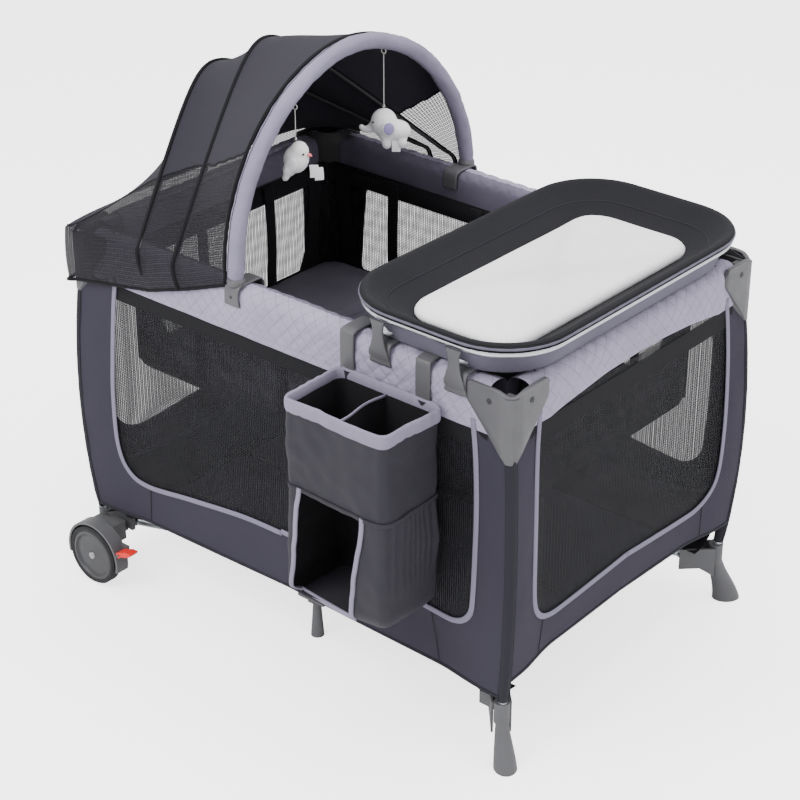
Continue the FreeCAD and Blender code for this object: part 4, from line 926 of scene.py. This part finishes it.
upper_bag = bag_part("organizer_upper", [bag_ring(z) for z in np.linspace(BAG_MID - 0.004, BAG_TOP, 26)], BAG)
bag_part("organizer_upper_lining", [bag_ring(z, 0.0075) for z in np.linspace(BAG_MID + 0.002, BAG_TOP - 0.012, 14)],
         BLACK_CLOTH)
bag_plate("organizer_shelf", bag_ring(BAG_MID + 0.003, 0.003), 0.003, BLACK_CLOTH)
RIM = [(0.642, 0.0010), (0.648, 0.0030), (0.656, 0.0034), (0.664, 0.0030), (0.6685, 0.0004), (0.665, -0.0032),
       (0.655, -0.0044), (0.643, -0.0046)]
rows = []
for z, out in RIM:
    row = []
    for k, (x, y, _) in enumerate(bag_ring(0.655)):
        nx, ny = (x - BX) / BHX, (y - BY) / BHY
        ripple = 0.0012 * math.sin(k * 1.15) * (0.4 + 0.6 * noise.noise(Vector((x * 30, y * 30, 0))))
        size = math.hypot(nx ** 5, ny ** 5) + 1e-6
        row.append((x + (out + ripple) * math.copysign(abs(nx) ** 5, nx) / size,
                    y + (out + ripple) * math.copysign(abs(ny) ** 5, ny) / size, z + ripple * 0.6))
    rows.append(row)
rim = bag_part("organizer_rim", rows, BAG_RIM)

# Where the lower pocket's mouth begins and ends along x, at its top and at its foot.
OPEN_LEFT, OPEN_RIGHT = (0.188, 0.168), (0.334, 0.304)


def lower_ring(z, inset=0.0):
    """The lower pocket's wall from the right edge of its mouth round the back to the left edge."""
    ring = bag_ring(z, inset, 240, lower=True)
    share = (z - BAG_LOW) / (BAG_MID - BAG_LOW)
    left = OPEN_LEFT[1] + (OPEN_LEFT[0] - OPEN_LEFT[1]) * share
    right = OPEN_RIGHT[1] + (OPEN_RIGHT[0] - OPEN_RIGHT[1]) * share
    front = min(p[1] for p in ring)
    order = [p for p in ring if not (p[1] < front + 0.012 and left < p[0] < right)]
    start = next(i for i, p in enumerate(order) if p[1] < front + 0.012 and p[0] >= right
                 and not (order[i - 1][1] < front + 0.012 and order[i - 1][0] >= right))
    order = order[start:] + order[:start]
    if order[1][0] < order[0][0]:
        order = order[::-1]
    return even_line([(right, order[0][1], z), *order, (left, order[-1][1], z)], 170)


heights = [BAG_LOW + 0.0015 + 0.03 * (i / 7) ** 2 for i in range(8)] + list(np.linspace(0.325, BAG_MID + 0.004, 20))
lower_bag = bag_part("organizer_lower", [lower_ring(z) for z in heights], BAG, wrap=False)
bag_part("organizer_lower_lining", [lower_ring(z, 0.0035) for z in heights], BLACK_CLOTH, wrap=False)
bag_plate("organizer_floor", bag_ring(BAG_LOW + 0.001), 0.001, BAG)
left_edge = [Vector(lower_ring(z)[-1]) + Vector((0.001, -0.0015, 0)) for z in heights]
right_edge = [Vector(lower_ring(z)[0]) + Vector((-0.001, -0.0015, 0)) for z in heights]
foot = [left_edge[0].lerp(right_edge[0], t) + Vector((0, -0.001, -0.001 * math.sin(math.pi * t)))
        for t in (0.12, 0.3, 0.5, 0.7, 0.88)]
mouth = curve_through([tuple(p) for p in (*left_edge[::-1], *foot, *right_edge)], 120)
binding = sweep("organizer_mouth_binding", mouth, oval(0.0048, 0.0022, 10, 0.7), BAG_RIM, "hub",
                up=(0, -1, 0))
belt = []
for x, y, z in bag_ring(BAG_MID + 0.001):
    nx, ny = (x - BX) / BHX, (y - BY) / BHY
    belt.append((x + 0.0016 * nx ** 5, y + 0.0016 * ny ** 5, z))
belt_ups = [((p[0] - BX) ** 5 / BHX ** 5, (p[1] - BY) ** 5 / BHY ** 5, 0.001) for p in belt]
belt = sweep("organizer_belt", belt, oval(0.0042, 0.0012, 8, 0.7), BAG, "hub", up=belt_ups,
             closed=True)
rows = [[(0.262 + 0.004 * math.sin(y * 50), y, z) for y in np.linspace(BY - BHY + 0.006, BY + BHY - 0.006, 12)]
        for z in np.linspace(BAG_MID + 0.004, 0.650, 8)]
bag_part("organizer_divider", rows, BLACK_CLOTH, wrap=False)
sweep("organizer_divider_edge", rows[-1], oval(0.0016, 0.003, 8), BAG_RIM, "hub")
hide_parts("organizer_bag")
for x in (0.172, 0.337):
    rows = [[(x + s, -0.3625 - 0.0016 * math.cos(s * 90), z) for s in np.linspace(-0.016, 0.016, 7)]
            for z in np.linspace(0.604, 0.664, 12)]
    bag_part(f"organizer_tab_{int(x * 1000)}", rows, BAG, wrap=False)


# ---------------------------------------------------------------- canopy
def arch_at(turn, grow=0.0):
    """A point of the front arch's middle line: turn goes from 0 at the near foot to pi at the far one."""
    c, s = math.cos(turn), math.sin(turn)
    y = -(0.345 + grow) * math.copysign(abs(c) ** 1.06, c)
    rise = abs(s) ** 1.02
    return Vector((-0.118 - 0.0609 * y - 0.020 * rise, y, 0.742 + (0.327 + grow) * rise))


# Half the hood's width at the rails, the end rail's place, and the heights of its edge and hem there.
HOOD_Y, END_X, END_TOP, END_HEM = 0.361, -0.525, 0.739, 0.622


def rod_line(y, base_front, base_rear, lean, low, top):
    """A point of the cloth's line over a rod, at a place across the yard."""
    sharp = 0.06
    drop = (math.sqrt(y * y + sharp * sharp) - sharp) / (math.sqrt(HOOD_Y ** 2 + sharp ** 2) - sharp)
    base = base_front + (base_rear - base_front) * (y + HOOD_Y) / (2 * HOOD_Y)
    return Vector((base + (lean - (base_front + base_rear) / 2) * (1 - drop), y, low + (top - low) * (1 - drop)))


def hoop(k, count=121):
    """The cloth's own line over one support, from the near rail to the far one."""
    if k == 0:
        points = [arch_at(t, 0.010) for t in np.linspace(0, math.pi, count)]
        return np.array([(p.x - 0.018, p.y, p.z) for p in points])
    if k == 3:
        ys = np.linspace(-HOOD_Y, HOOD_Y, count)
        return np.array([(END_X, y, END_TOP - 0.010 * (abs(y) / HOOD_Y) ** 8) for y in ys])
    data = {1: (-0.240, -0.184, -0.343, 0.7365, 1.040), 2: (-0.331, -0.250, -0.479, 0.7365, 0.964)}[k]
    ys = np.sin(np.linspace(-math.pi / 2, math.pi / 2, count)) * 0.6 + np.linspace(-1, 1, count) * 0.4
    return np.array([rod_line(y * HOOD_Y, *data) for y in ys])


HOOPS = [even_line(hoop(k), 241) for k in range(4)]
# The height where the opaque cover meets the side nets, and the height of the nets' hem, along x.
BOUND_X = [-0.534, -0.512, -0.48, -0.42, -0.34, -0.24, -0.10]
BOUND_Z = [0.728, 0.731, 0.766, 0.808, 0.848, 0.889, 0.966]
FAR_BOUND_Z = [0.728, 0.729, 0.733, 0.744, 0.772, 0.840, 0.945]
HEM_X = [-0.536, -0.304, -0.20, -0.106]
HEM_Z = [0.622, 0.666, 0.700, 0.735]


def hood_row(place):
    """The cloth's line at a place from 0 at the arch to 3 at the end rail."""
    k = min(2, int(place))
    share = place - k
    a, b = HOOPS[k], HOOPS[k + 1]
    line = a * (1 - share) + b * share
    span = [-0.004, 0.010, 0.020][k]
    sag = 4 * share * (1 - share) * span
    centre = np.array([line[:, 0].mean(), 0, 0.70])
    for i, p in enumerate(line):
        high = min(1.0, max(0.0, (p[2] - 0.74) / 0.2))
        inward = centre - p
        size = np.linalg.norm(inward) + 1e-6
        wave = 0.003 * noise.noise(Vector((p[0] * 9, p[1] * 7, p[2] * 9)))
        line[i] = p + inward / size * (sag * high + wave * min(1.0, 4 * share * (1 - share)))
    return line


def split_row(line):
    """The near net, the cover and the far net of one line of the hood."""
    n = len(line)
    half = n // 2

    def crossing(indices):
        for i in indices:
            bound = np.interp(line[i][0], BOUND_X, BOUND_Z if line[i][1] < 0 else FAR_BOUND_Z)
            if line[i][2] >= bound:
                return i
        return half
    near = max(2, crossing(range(0, half)))
    far = min(n - 3, crossing(range(n - 1, half, -1)))
    near_part, cover_part, far_part = line[:near + 1], line[near:far + 1], line[far:]

    def skirt(foot):
        hem = np.interp(foot[0], HEM_X, HEM_Z)
        top = foot[2]
        return np.array([(foot[0], foot[1] + math.copysign(0.004 * math.sin(math.pi * t), foot[1]),
                          hem + (top - hem) * t) for t in np.linspace(0, 0.9, 10)])
    near_part = np.concatenate([skirt(near_part[0]), near_part])
    far_part = np.concatenate([far_part, skirt(far_part[-1])[::-1]])
    return even_line(near_part, 40), even_line(cover_part, 90), even_line(far_part, 40)


places = np.concatenate([np.linspace(0, 1, 22)[:-1], np.linspace(1, 2, 22)[:-1], np.linspace(2, 3, 22)])
near_rows, cover_rows, far_rows = zip(*[split_row(hood_row(p)) for p in places])
end_rows = []
for z in np.linspace(END_TOP, END_HEM, 16):
    t = (END_TOP - z) / (END_TOP - END_HEM)
    end_rows.append([(END_X - 0.004 * math.sin(math.pi * t) - 0.002 * noise.noise(Vector((y * 12, z * 9, 2))),
                      y, z - 0.010 * (1 - t) * (abs(y) / HOOD_Y) ** 8) for y in np.linspace(-HOOD_Y, HOOD_Y, 50)])
for name, rows, look, flat in (("hood_cover", cover_rows, CANOPY, (0.80, 0.50)),
                               ("hood_net_near", near_rows, NET_FINE, (0.46, 0.36)),
                               ("hood_net_far", far_rows, NET_FINE, (0.46, 0.36)),
                               ("hood_net_end", end_rows, NET_FINE, (0.74, 0.125))):
    piece = grid(name, rows, look, "canopy")
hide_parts("canopy_fabric")


def hood_cord(name, points, section):
    """A binding along a line of the hood."""
    ups = [Vector((p[0] + 0.3, p[1] * 1.2, p[2] - 0.66)) for p in points]
    sweep(name, points, section, BINDING, "canopy", up=ups)


def off_cloth(p, out):
    """A hoop's point moved out of the cloth."""
    p = Vector(p)
    return p + (p - Vector((p[0] + 0.12, 0, 0.70))).normalized() * out


for k, name in ((1, "middle"), (2, "rear")):
    down = Vector((0.004, 0, -0.036))
    under = [off_cloth(p, -0.0042) for p in HOOPS[k][::8]]
    under = [Vector(HOOPS[k][0]) + down, *under, Vector(HOOPS[k][-1]) + down]
    bent = sweep(f"canopy_rod_{name}", curve_through([tuple(p) for p in under], 120), circle(0.003, 12),
                 DARK_PLASTIC, "canopy", up=(1, 0, 0.2))
    if k == 1:
        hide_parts("canopy_rods")
    over = [off_cloth(p, 0.0012) for p in HOOPS[k]]
    over = [over[0] + Vector((0.012, -0.001, -0.044)), over[0] + Vector((0.006, -0.003, -0.020)), *over,
            over[-1] + Vector((0.006, 0.003, -0.020)), over[-1] + Vector((0.012, 0.001, -0.044))]
    hood_cord(f"rod_pocket_{name}", even_line([tuple(p) for p in over], 130), oval(0.0046, 0.0032, 12, 0.9))
for name, edge in (("near", [r[0] for r in cover_rows]), ("far", [r[-1] for r in cover_rows])):
    hood_cord(f"hood_seam_{name}", even_line(edge, 90), oval(0.0022, 0.0010, 8))
hem_near = [r[0] for r in near_rows]
hem_far = [r[-1] for r in far_rows]
hem_line = [*hem_near, *[(-0.529, y, 0.621) for y in np.linspace(-0.34, 0.34, 24)], *hem_far[::-1]]
hem_line = curve_through(hem_line[::3], 260)
scale = [1 + 0.22 * noise.noise(Vector((i * 0.7, 0, 0))) for i in range(260)]
sweep("hood_hem", hem_line, circle(0.0032, 9), BINDING, "canopy", scale=scale)
front_line = even_line([*near_rows[0], *cover_rows[0][1:], *far_rows[0][1:]], 140)
hood_cord("hood_front_zip", front_line, oval(0.0036, 0.0022, 8))

path = even_line([tuple(arch_at(t)) for t in np.linspace(0, math.pi, 400)], 230)
sleeve_rows = []
for i, p in enumerate(path):
    here = Vector(p)
    along = (Vector(path[min(229, i + 1)]) - Vector(path[max(0, i - 1)])).normalized()
    side = Vector((1, 0, 0))
    side = (side - along * side.dot(along)).normalized()
    lift = along.cross(side)
    row = []
    for j in range(28):
        turn = 2 * math.pi * j / 28
        pinch = 1 - 0.10 * math.exp(-((turn - 4.4) / 0.22) ** 2)
        fold = 0.09 * noise.noise(Vector((i * 0.11, math.cos(turn) * 1.4, math.sin(turn) * 1.4)))
        fold += 0.06 * noise.noise(Vector((i * 0.38, math.cos(turn) * 0.8 + 4, math.sin(turn) * 0.8)))
        end = 1 - 0.22 * (1 - smooth_step(min(i, 229 - i), 0, 5))
        radius = 0.0153 * (pinch + fold) * end
        row.append(here + side * math.cos(turn) * radius + lift * math.sin(turn) * radius)
    sleeve_rows.append(row)
arch = grid("arch_padding", sleeve_rows, ARCH, "canopy", wrap=True)
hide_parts("canopy_arch")
sweep("arch_seam", [r[19] for r in sleeve_rows][4:-4], circle(0.0009, 6), THREAD, "canopy",
      up=(1, 0, 0))


def strap_over(name, x, side, wide, body, outer_low, inner_low, top=0.7365, thick=0.0021):
    """A moulded strap hooked over a long rail, with a thicker rounded lip at its outer end."""
    out, inside, roll = 0.3585, 0.2935, 0.007
    profile = [(out - 0.001, outer_low), (out, outer_low + 0.006), (out, top - 0.012),
               (out - roll * 0.6, top - 0.002), (out - 0.014, top), (inside + 0.014, top),
               (inside + roll * 0.6, top - 0.003), (inside, top - 0.014), (inside, inner_low)]
    line = curve_through([(x, side * y, z) for y, z in profile], 60)
    middle = Vector((x, side * (out + inside) / 2, top - 0.02))
    ups = [Vector((0, p[1], p[2])) - Vector((0, middle.y, middle.z)) for p in line]
    scale = [1 + 0.10 * smooth_step(6 - i, 0, 6) for i in range(60)]
    return sweep(name, line, oval(wide / 2, thick, 16, 0.35), GREY_PLASTIC, body, up=ups, scale=scale)


for name, x, side in (("front", -0.097, -1), ("rear", -0.139, 1)):
    strap = strap_over(f"arch_clip_{name}", x, side, 0.033, "canopy", 0.700, 0.702)
    if side < 0:
        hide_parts("canopy_clips")
    lathe(f"arch_cup_{name}", [(0.0140, 0.0), (0.0160, 0.001), (0.0165, 0.006), (0.0150, 0.012), (0.0130, 0.013)],
          (x, side * 0.345, 0.7345), (0, 0, 1), GREY_PLASTIC, "canopy", 28)
    screw(f"arch_clip_screw_{name}", (x, side * 0.3603, 0.716), (0, side, 0), "canopy", 0.0034)


# ---------------------------------------------------------------- toys
def ball(centre, radii, turn=(0, 0, 0)):
    """The points and faces of an egg-shaped part of a toy."""
    rings, sides = 14, 20
    spin = Euler([math.radians(a) for a in turn]).to_matrix()
    verts = []
    for i in range(rings + 1):
        polar = math.pi * i / rings
        for j in range(sides):
            around = 2 * math.pi * j / sides
            p = Vector((math.sin(polar) * math.cos(around) * radii[0],
                        math.sin(polar) * math.sin(around) * radii[1], math.cos(polar) * radii[2]))
            verts.append(Vector(centre) + spin @ p)
    return verts, quads(rings + 1, sides)


def plush(name, parts, look, body, voxel=0.0016, smoothing=6, fuzz=0.0004):
    """Egg-shaped parts grown together into one stuffed form."""
    verts, faces = [], []
    for part in parts:
        v, f = ball(*part)
        faces.extend([tuple(k + len(verts) for k in face) for face in f])
        verts.extend(v)
    piece = make(name, verts, faces, look, body)
    remesh = piece.modifiers.new("grow", "REMESH")
    remesh.mode = "VOXEL"
    remesh.voxel_size = voxel
    relax = piece.modifiers.new("relax", "SMOOTH")
    relax.factor = 0.6
    relax.iterations = smoothing
    bake(piece)
    for polygon in piece.data.polygons:
        polygon.use_smooth = True
    if not piece.data.materials:
        piece.data.materials.append(look)
    rough_up(piece, fuzz, 260, 2.0)
    return piece


def around(parts, centre, yaw):
    """A toy's parts, given about its own middle, put in place and turned about the upright."""
    spin = Matrix.Rotation(math.radians(yaw), 3, "Z")
    placed = []
    for offset, radii, *turn in parts:
        tilt = turn[0] if turn else (0, 0, 0)
        placed.append((Vector(centre) + spin @ Vector(offset), radii, (tilt[0], tilt[1], tilt[2] + yaw)))
    return placed


def eye(name, offset, way, centre, yaw, body):
    """A round bead of an eye, facing way."""
    spin = Matrix.Rotation(math.radians(yaw), 3, "Z")
    lathe(name, [(0.0001, 0.0018), (0.0012, 0.0015), (0.0021, 0.0), (0.0020, -0.0012)],
          Vector(centre) + spin @ Vector(offset), spin @ Vector(way), BLACK_PLASTIC, body, 16)


# Each toy faces -Y before it is turned.
BIRD, BIRD_YAW = (-0.124, -0.158, 0.903), 112
bird = plush("bird_body", around([
    ((0, 0, 0.002), (0.0215, 0.023, 0.0265), (14, 0, 0)),
    ((0, -0.006, 0.0165), (0.0175, 0.0175, 0.0190)),
    ((0, 0.012, -0.018), (0.0165, 0.0125, 0.015), (30, 0, 0)),
    ((-0.011, 0.016, -0.030), (0.0062, 0.0062, 0.0095), (25, 0, 0)),
    ((0, 0.018, -0.0315), (0.0064, 0.0064, 0.0095), (25, 0, 0)),
    ((0.011, 0.016, -0.030), (0.0062, 0.0062, 0.0095), (25, 0, 0)),
], BIRD, BIRD_YAW), PLUSH, "toy_a")
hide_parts("toy_bird")
for side in (-1, 1):
    which = "a" if side < 0 else "b"
    plush(f"bird_wing_{which}", around([
        ((side * 0.0215, 0.002, -0.002), (0.0042, 0.012, 0.0155), (25, 0, side * 8)),
        ((side * 0.0225, 0.008, -0.014), (0.0036, 0.0075, 0.009), (25, 0, 0)),
    ], BIRD, BIRD_YAW), PLUSH, "toy_a", voxel=0.0013, smoothing=3)
    eye(f"bird_eye_{which}", (side * 0.0125, -0.0185, 0.017), (side * 0.7, -0.75, 0.1), BIRD, BIRD_YAW, "toy_a")
plush("bird_beak", around([
    ((0, -0.0245, 0.0125), (0.0042, 0.0048, 0.0030)),
    ((0, -0.0285, 0.0110), (0.002, 0.0024, 0.0018)),
], BIRD, BIRD_YAW), PINK, "toy_a", 0.0009, 2, 0.0001)
ELEPHANT, ELEPHANT_YAW = (-0.144, 0.103, 0.883), -52
elephant = plush("elephant_body", around([
    ((0, 0.000, 0.010), (0.0250, 0.0250, 0.0265)),
    ((0, 0.026, -0.006), (0.0225, 0.0240, 0.0200)),
    ((0, 0.012, -0.012), (0.0210, 0.0240, 0.0180)),
    ((0.013, 0.006, -0.026), (0.0090, 0.0095, 0.0120)),
    ((-0.013, 0.006, -0.026), (0.0090, 0.0095, 0.0120)),
    ((0.013, 0.034, -0.024), (0.0090, 0.0095, 0.0120)),
    ((-0.013, 0.034, -0.024), (0.0090, 0.0095, 0.0120)),
    ((0, -0.022, 0.000), (0.0085, 0.0090, 0.0100)),
    ((0, -0.030, -0.004), (0.0070, 0.0075, 0.0075)),
    ((0, -0.037, -0.004), (0.0060, 0.0060, 0.0062)),
    ((0, -0.042, 0.000), (0.0052, 0.0050, 0.0058)),
], ELEPHANT, ELEPHANT_YAW), PLUSH, "toy_b")
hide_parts("toy_elephant")
for side in (-1, 1):
    which = "far" if side < 0 else "near"
    turn = (18, 0, side * 22)
    plush(f"elephant_ear_{which}", around([
        ((side * 0.0245, 0.010, 0.008), (0.0045, 0.0140, 0.0165), turn),
    ], ELEPHANT, ELEPHANT_YAW), PLUSH, "toy_b", 0.0014, 3)
    plush(f"elephant_ear_lining_{which}", around([
        ((side * 0.0272, 0.0105, 0.0075), (0.0030, 0.0108, 0.0130), turn),
    ], ELEPHANT, ELEPHANT_YAW), PLUSH_LILAC, "toy_b", 0.0013, 2)
    eye(f"elephant_eye_{which}", (side * 0.0150, -0.0195, 0.0150), (side * 0.75, -0.75, 0.2), ELEPHANT,
        ELEPHANT_YAW, "toy_b")


def hanging_cord(letter, x, y, low, high):
    """A toy's straight hanging cord, with its knot below and its loop at the arch."""
    curve = bpy.data.curves.new(f"toy_cord_{letter}", "CURVE")
    curve.dimensions = "3D"
    curve.bevel_depth = 0.0008
    curve.bevel_resolution = 3
    spline = curve.splines.new("NURBS")
    heights = [high, high - 0.012, (high + low) / 2, low + 0.012, low]
    spline.points.add(len(heights) - 1)
    for k, z in enumerate(heights):
        spline.points[k].co = (x, y, z, 1)
    spline.order_u = 3
    spline.use_endpoint_u = True
    cord = bpy.data.objects.new(f"toy_cord_{letter}", curve)
    curve.materials.append(CREAM)
    bpy.context.collection.objects.link(cord)
    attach(cord, f"toy_{letter}")
    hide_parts(f"toy_string_{letter}")
    knot = plush(f"toy_knot_{letter}", [((x, y, low + 0.002), (0.0026, 0.0024, 0.0022)),
                                        ((x + 0.0012, y, low + 0.0045), (0.0016, 0.0016, 0.0016))],
                 CREAM, f"toy_{letter}", 0.0007, 2, 0.0001)
    loop_path = [(x + 0.0052 * math.sin(t), y, high + 0.0035 - 0.0050 * math.cos(t))
                 for t in np.linspace(0, 2 * math.pi, 20)[:-1]]
    loop = sweep(f"toy_loop_{letter}", loop_path, circle(0.0009, 8), CREAM, f"toy_{letter}", up=(0, 1, 0),
                 closed=True)


hanging_cord("a", -0.124, -0.158, 0.940, 0.999)
hanging_cord("b", -0.144, 0.103, 0.922, 1.028)
TAGS = [(-0.106, -0.144, 0.894, 0.7, "toy_a"), (-0.099, -0.139, 0.889, 0.9, "toy_a"),
        (-0.122, 0.098, 0.866, 0.7, "toy_b")]
for index, (x, y, z, tilt, body) in enumerate(TAGS):
    rows = [[(x + a * math.cos(tilt) + 0.002 * math.sin(b * 90), y + a * math.sin(tilt), z - b)
             for a in np.linspace(0, 0.016, 5)] for b in np.linspace(0, 0.024, 7)]
    grid(f"toy_tag_{index}", rows, TAG, body)


# ---------------------------------------------------------------- small hardware
# Half the size of the yard over the caps.
CAP_X, CAP_Y = 0.520, 0.356
for corner, (sx, sy) in CORNERS.items():
    screw(f"cap_screw_long_{corner}", (sx * 0.473, sy * 0.3580, 0.708), (0, sy, 0), f"corner_{corner}")
    screw(f"cap_screw_short_{corner}", (sx * 0.5220, sy * 0.309, 0.708), (sx, 0, 0), f"corner_{corner}")


def cap_shell(corner, sx, sy):
    """The moulded outside of a corner cap, two arms with rolled edges, and its inner shroud and ridge screw."""
    body = f"corner_{corner}"
    bend, reach = 0.028, 0.090
    arc = bend * math.pi / 2
    rows = []
    levels = [(-0.004, 0.0), (-0.0008, 0.004), (0.0, 0.02), (0.0, 0.2), (0.0, 0.4), (0.0, 0.6), (0.0, 0.8),
              (0.0, 0.94), (0.0004, 0.97), (0.0012, 0.985), (0.0008, 0.997), (-0.002, 1.003), (-0.006, 1.0),
              (-0.0075, 0.985)]
    for out, share in levels:
        row = []
        for u in np.linspace(-reach, reach, 61):
            end = abs(u) / reach
            low = 0.602 + 0.098 * max(0.0, (abs(u) - 0.010) / (reach - 0.010)) ** 0.94
            low -= 0.004 * math.cos(min(1.0, abs(u) / 0.012) * math.pi / 2)
            top = 0.7315 - 0.0085 * math.exp(-(u / 0.016) ** 2) - 0.016 * smooth_step(end, 0.90, 1.0) ** 2
            z = low + (top - low) * share
            o = out + 0.0012 + 0.0010 * math.sin(math.pi * min(1, max(0, share)))
            o -= 0.0042 * smooth_step(end, 0.955, 1.0)
            if abs(u) < arc / 2:
                turn = u / bend + math.pi / 4
                x = CAP_X - bend + (bend + o) * math.cos(turn)
                y = CAP_Y - bend + (bend + o) * math.sin(turn)
            elif u < 0:
                x, y = CAP_X + o, CAP_Y - bend - (abs(u) - arc / 2)
            else:
                x, y = CAP_X - bend - (u - arc / 2), CAP_Y + o
            row.append((sx * x, sy * y, z))
        rows.append(row)
    grid(f"cap_shell_{corner}", rows, GREY_PLASTIC, body)
    low, top = 0.616, 0.742
    rows = []
    for z in np.linspace(low, top, 16):
        share = (z - low) / (top - low)
        spread = 0.30 + 0.72 * smooth_step(share, 0.0, 0.35) - 0.34 * smooth_step(share, 0.72, 1.0) ** 2
        lean = 0.006 * smooth_step(share, 0.8, 1.0)
        row = []
        for t in np.linspace(-spread, spread, 25):
            turn = math.pi / 4 + math.pi + t * 0.95
            row.append((sx * (0.497 + (0.070 - lean) * math.cos(turn) * 1.05),
                        sy * (0.333 + (0.070 - lean) * math.sin(turn) * 1.05), z))
        rows.append(row)
    grid(f"cap_inner_{corner}", rows, DARK_PLASTIC, body)
    screw(f"cap_screw_ridge_{corner}", (sx * 0.5128, sy * 0.3488, 0.650), (sx, sy, 0), body, 0.0046)


for corner, (sx, sy) in CORNERS.items():
    cap_shell(corner, sx, sy)
for index, x in enumerate((0.172, 0.337)):
    hook = strap_over(f"organizer_hook_{index}", x, -1, 0.031, "hub", 0.615, 0.690, top=0.7375)
    if index == 0:
        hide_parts("organizer_hooks")


# The strap from the rail to the changer: half width, y and height.
LINK = [(0.0215, -0.3615, 0.712), (0.0205, -0.3635, 0.722), (0.0150, -0.3640, 0.736), (0.0115, -0.3640, 0.752),
        (0.0115, -0.3650, 0.768), (0.0155, -0.3655, 0.782)]
for index, x in enumerate((0.245, 0.405)):
    saddle = strap_over(f"changer_saddle_{index}", x, -1, 0.042, "hub", 0.700, 0.706, top=0.7385,
                        thick=0.0026)
    if index == 0:
        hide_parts("changer_clamps")
    rows = [[(x + a * wide, y + b, z) for a, b in oval(1.0, 0.0022, 20, 0.35)]
            for wide, y, z in curve_through(LINK, 30)]
    grid(f"changer_link_{index}", rows, GREY_PLASTIC, "changer", wrap=True)


# ---------------------------------------------------------------- floor, light and camera
def floor():
    """A plain pale studio floor."""
    look = Look("floor", 0.75, specular=0.2)
    look.bump(look.noise(3, 2), 0.001, 0.05)
    cloud = look.spread(look.noise(0.7, 2), 0, 1)
    mat = look.paint(look.mix(cloud, srgb(250, 250, 251), srgb(253, 253, 253))).done()
    # It shows as a white studio floor, but doesn't light the yard from below.
    seen = look.tree.nodes.new("ShaderNodeLightPath").outputs["Is Camera Ray"]
    look.shader.inputs["Emission Color"].default_value = (1, 1, 1, 1)
    look.put(look.shader.inputs["Emission Strength"], look.math("MULTIPLY", seen, 2.2))
    mesh = bpy.data.meshes.new("floor")
    mesh.from_pydata([(-30, -30, 0), (30, -30, 0), (30, 30, 0), (-30, 30, 0)], [], [(0, 1, 2, 3)])
    mesh.materials.append(mat)
    plane = bpy.data.objects.new("floor", mesh)
    bpy.context.collection.objects.link(plane)


floor()
world = bpy.data.worlds.new("studio")
bpy.context.scene.world = world
world.use_nodes = True
world.node_tree.nodes["Background"].inputs["Color"].default_value = (1, 1, 1, 1)
world.node_tree.nodes["Background"].inputs["Strength"].default_value = 1.25


def lamp(name, spot, size, power):
    """A square soft lamp that looks at the yard."""
    light = bpy.data.lights.new(name, "AREA")
    light.energy = power
    light.size = size
    thing = bpy.data.objects.new(name, light)
    thing.location = spot
    thing.rotation_euler = (Vector((0, 0, 0.4)) - Vector(spot)).to_track_quat("-Z", "Y").to_euler()
    bpy.context.collection.objects.link(thing)


lamp("key", (-0.6, -3.2, 3.6), 2.4, 170)
lamp("fill", (3.4, 0.6, 2.6), 2.4, 50)
lamp("top", (0.2, 0.6, 4.0), 3.0, 110)
view = bpy.data.cameras.new("camera")
view.lens = 95.72
view.sensor_width = 36
camera = bpy.data.objects.new("camera", view)
ahead, right = Vector((-0.5703, 0.6709, -0.4741)), Vector((0.7619, 0.6477, 0.0))
above = right.cross(ahead)
turned = Matrix((right, above, -ahead)).transposed().to_4x4()
camera.matrix_world = Matrix.Translation((2.2933, -2.7179, 2.3134)) @ turned
bpy.context.collection.objects.link(camera)
bpy.context.scene.camera = camera
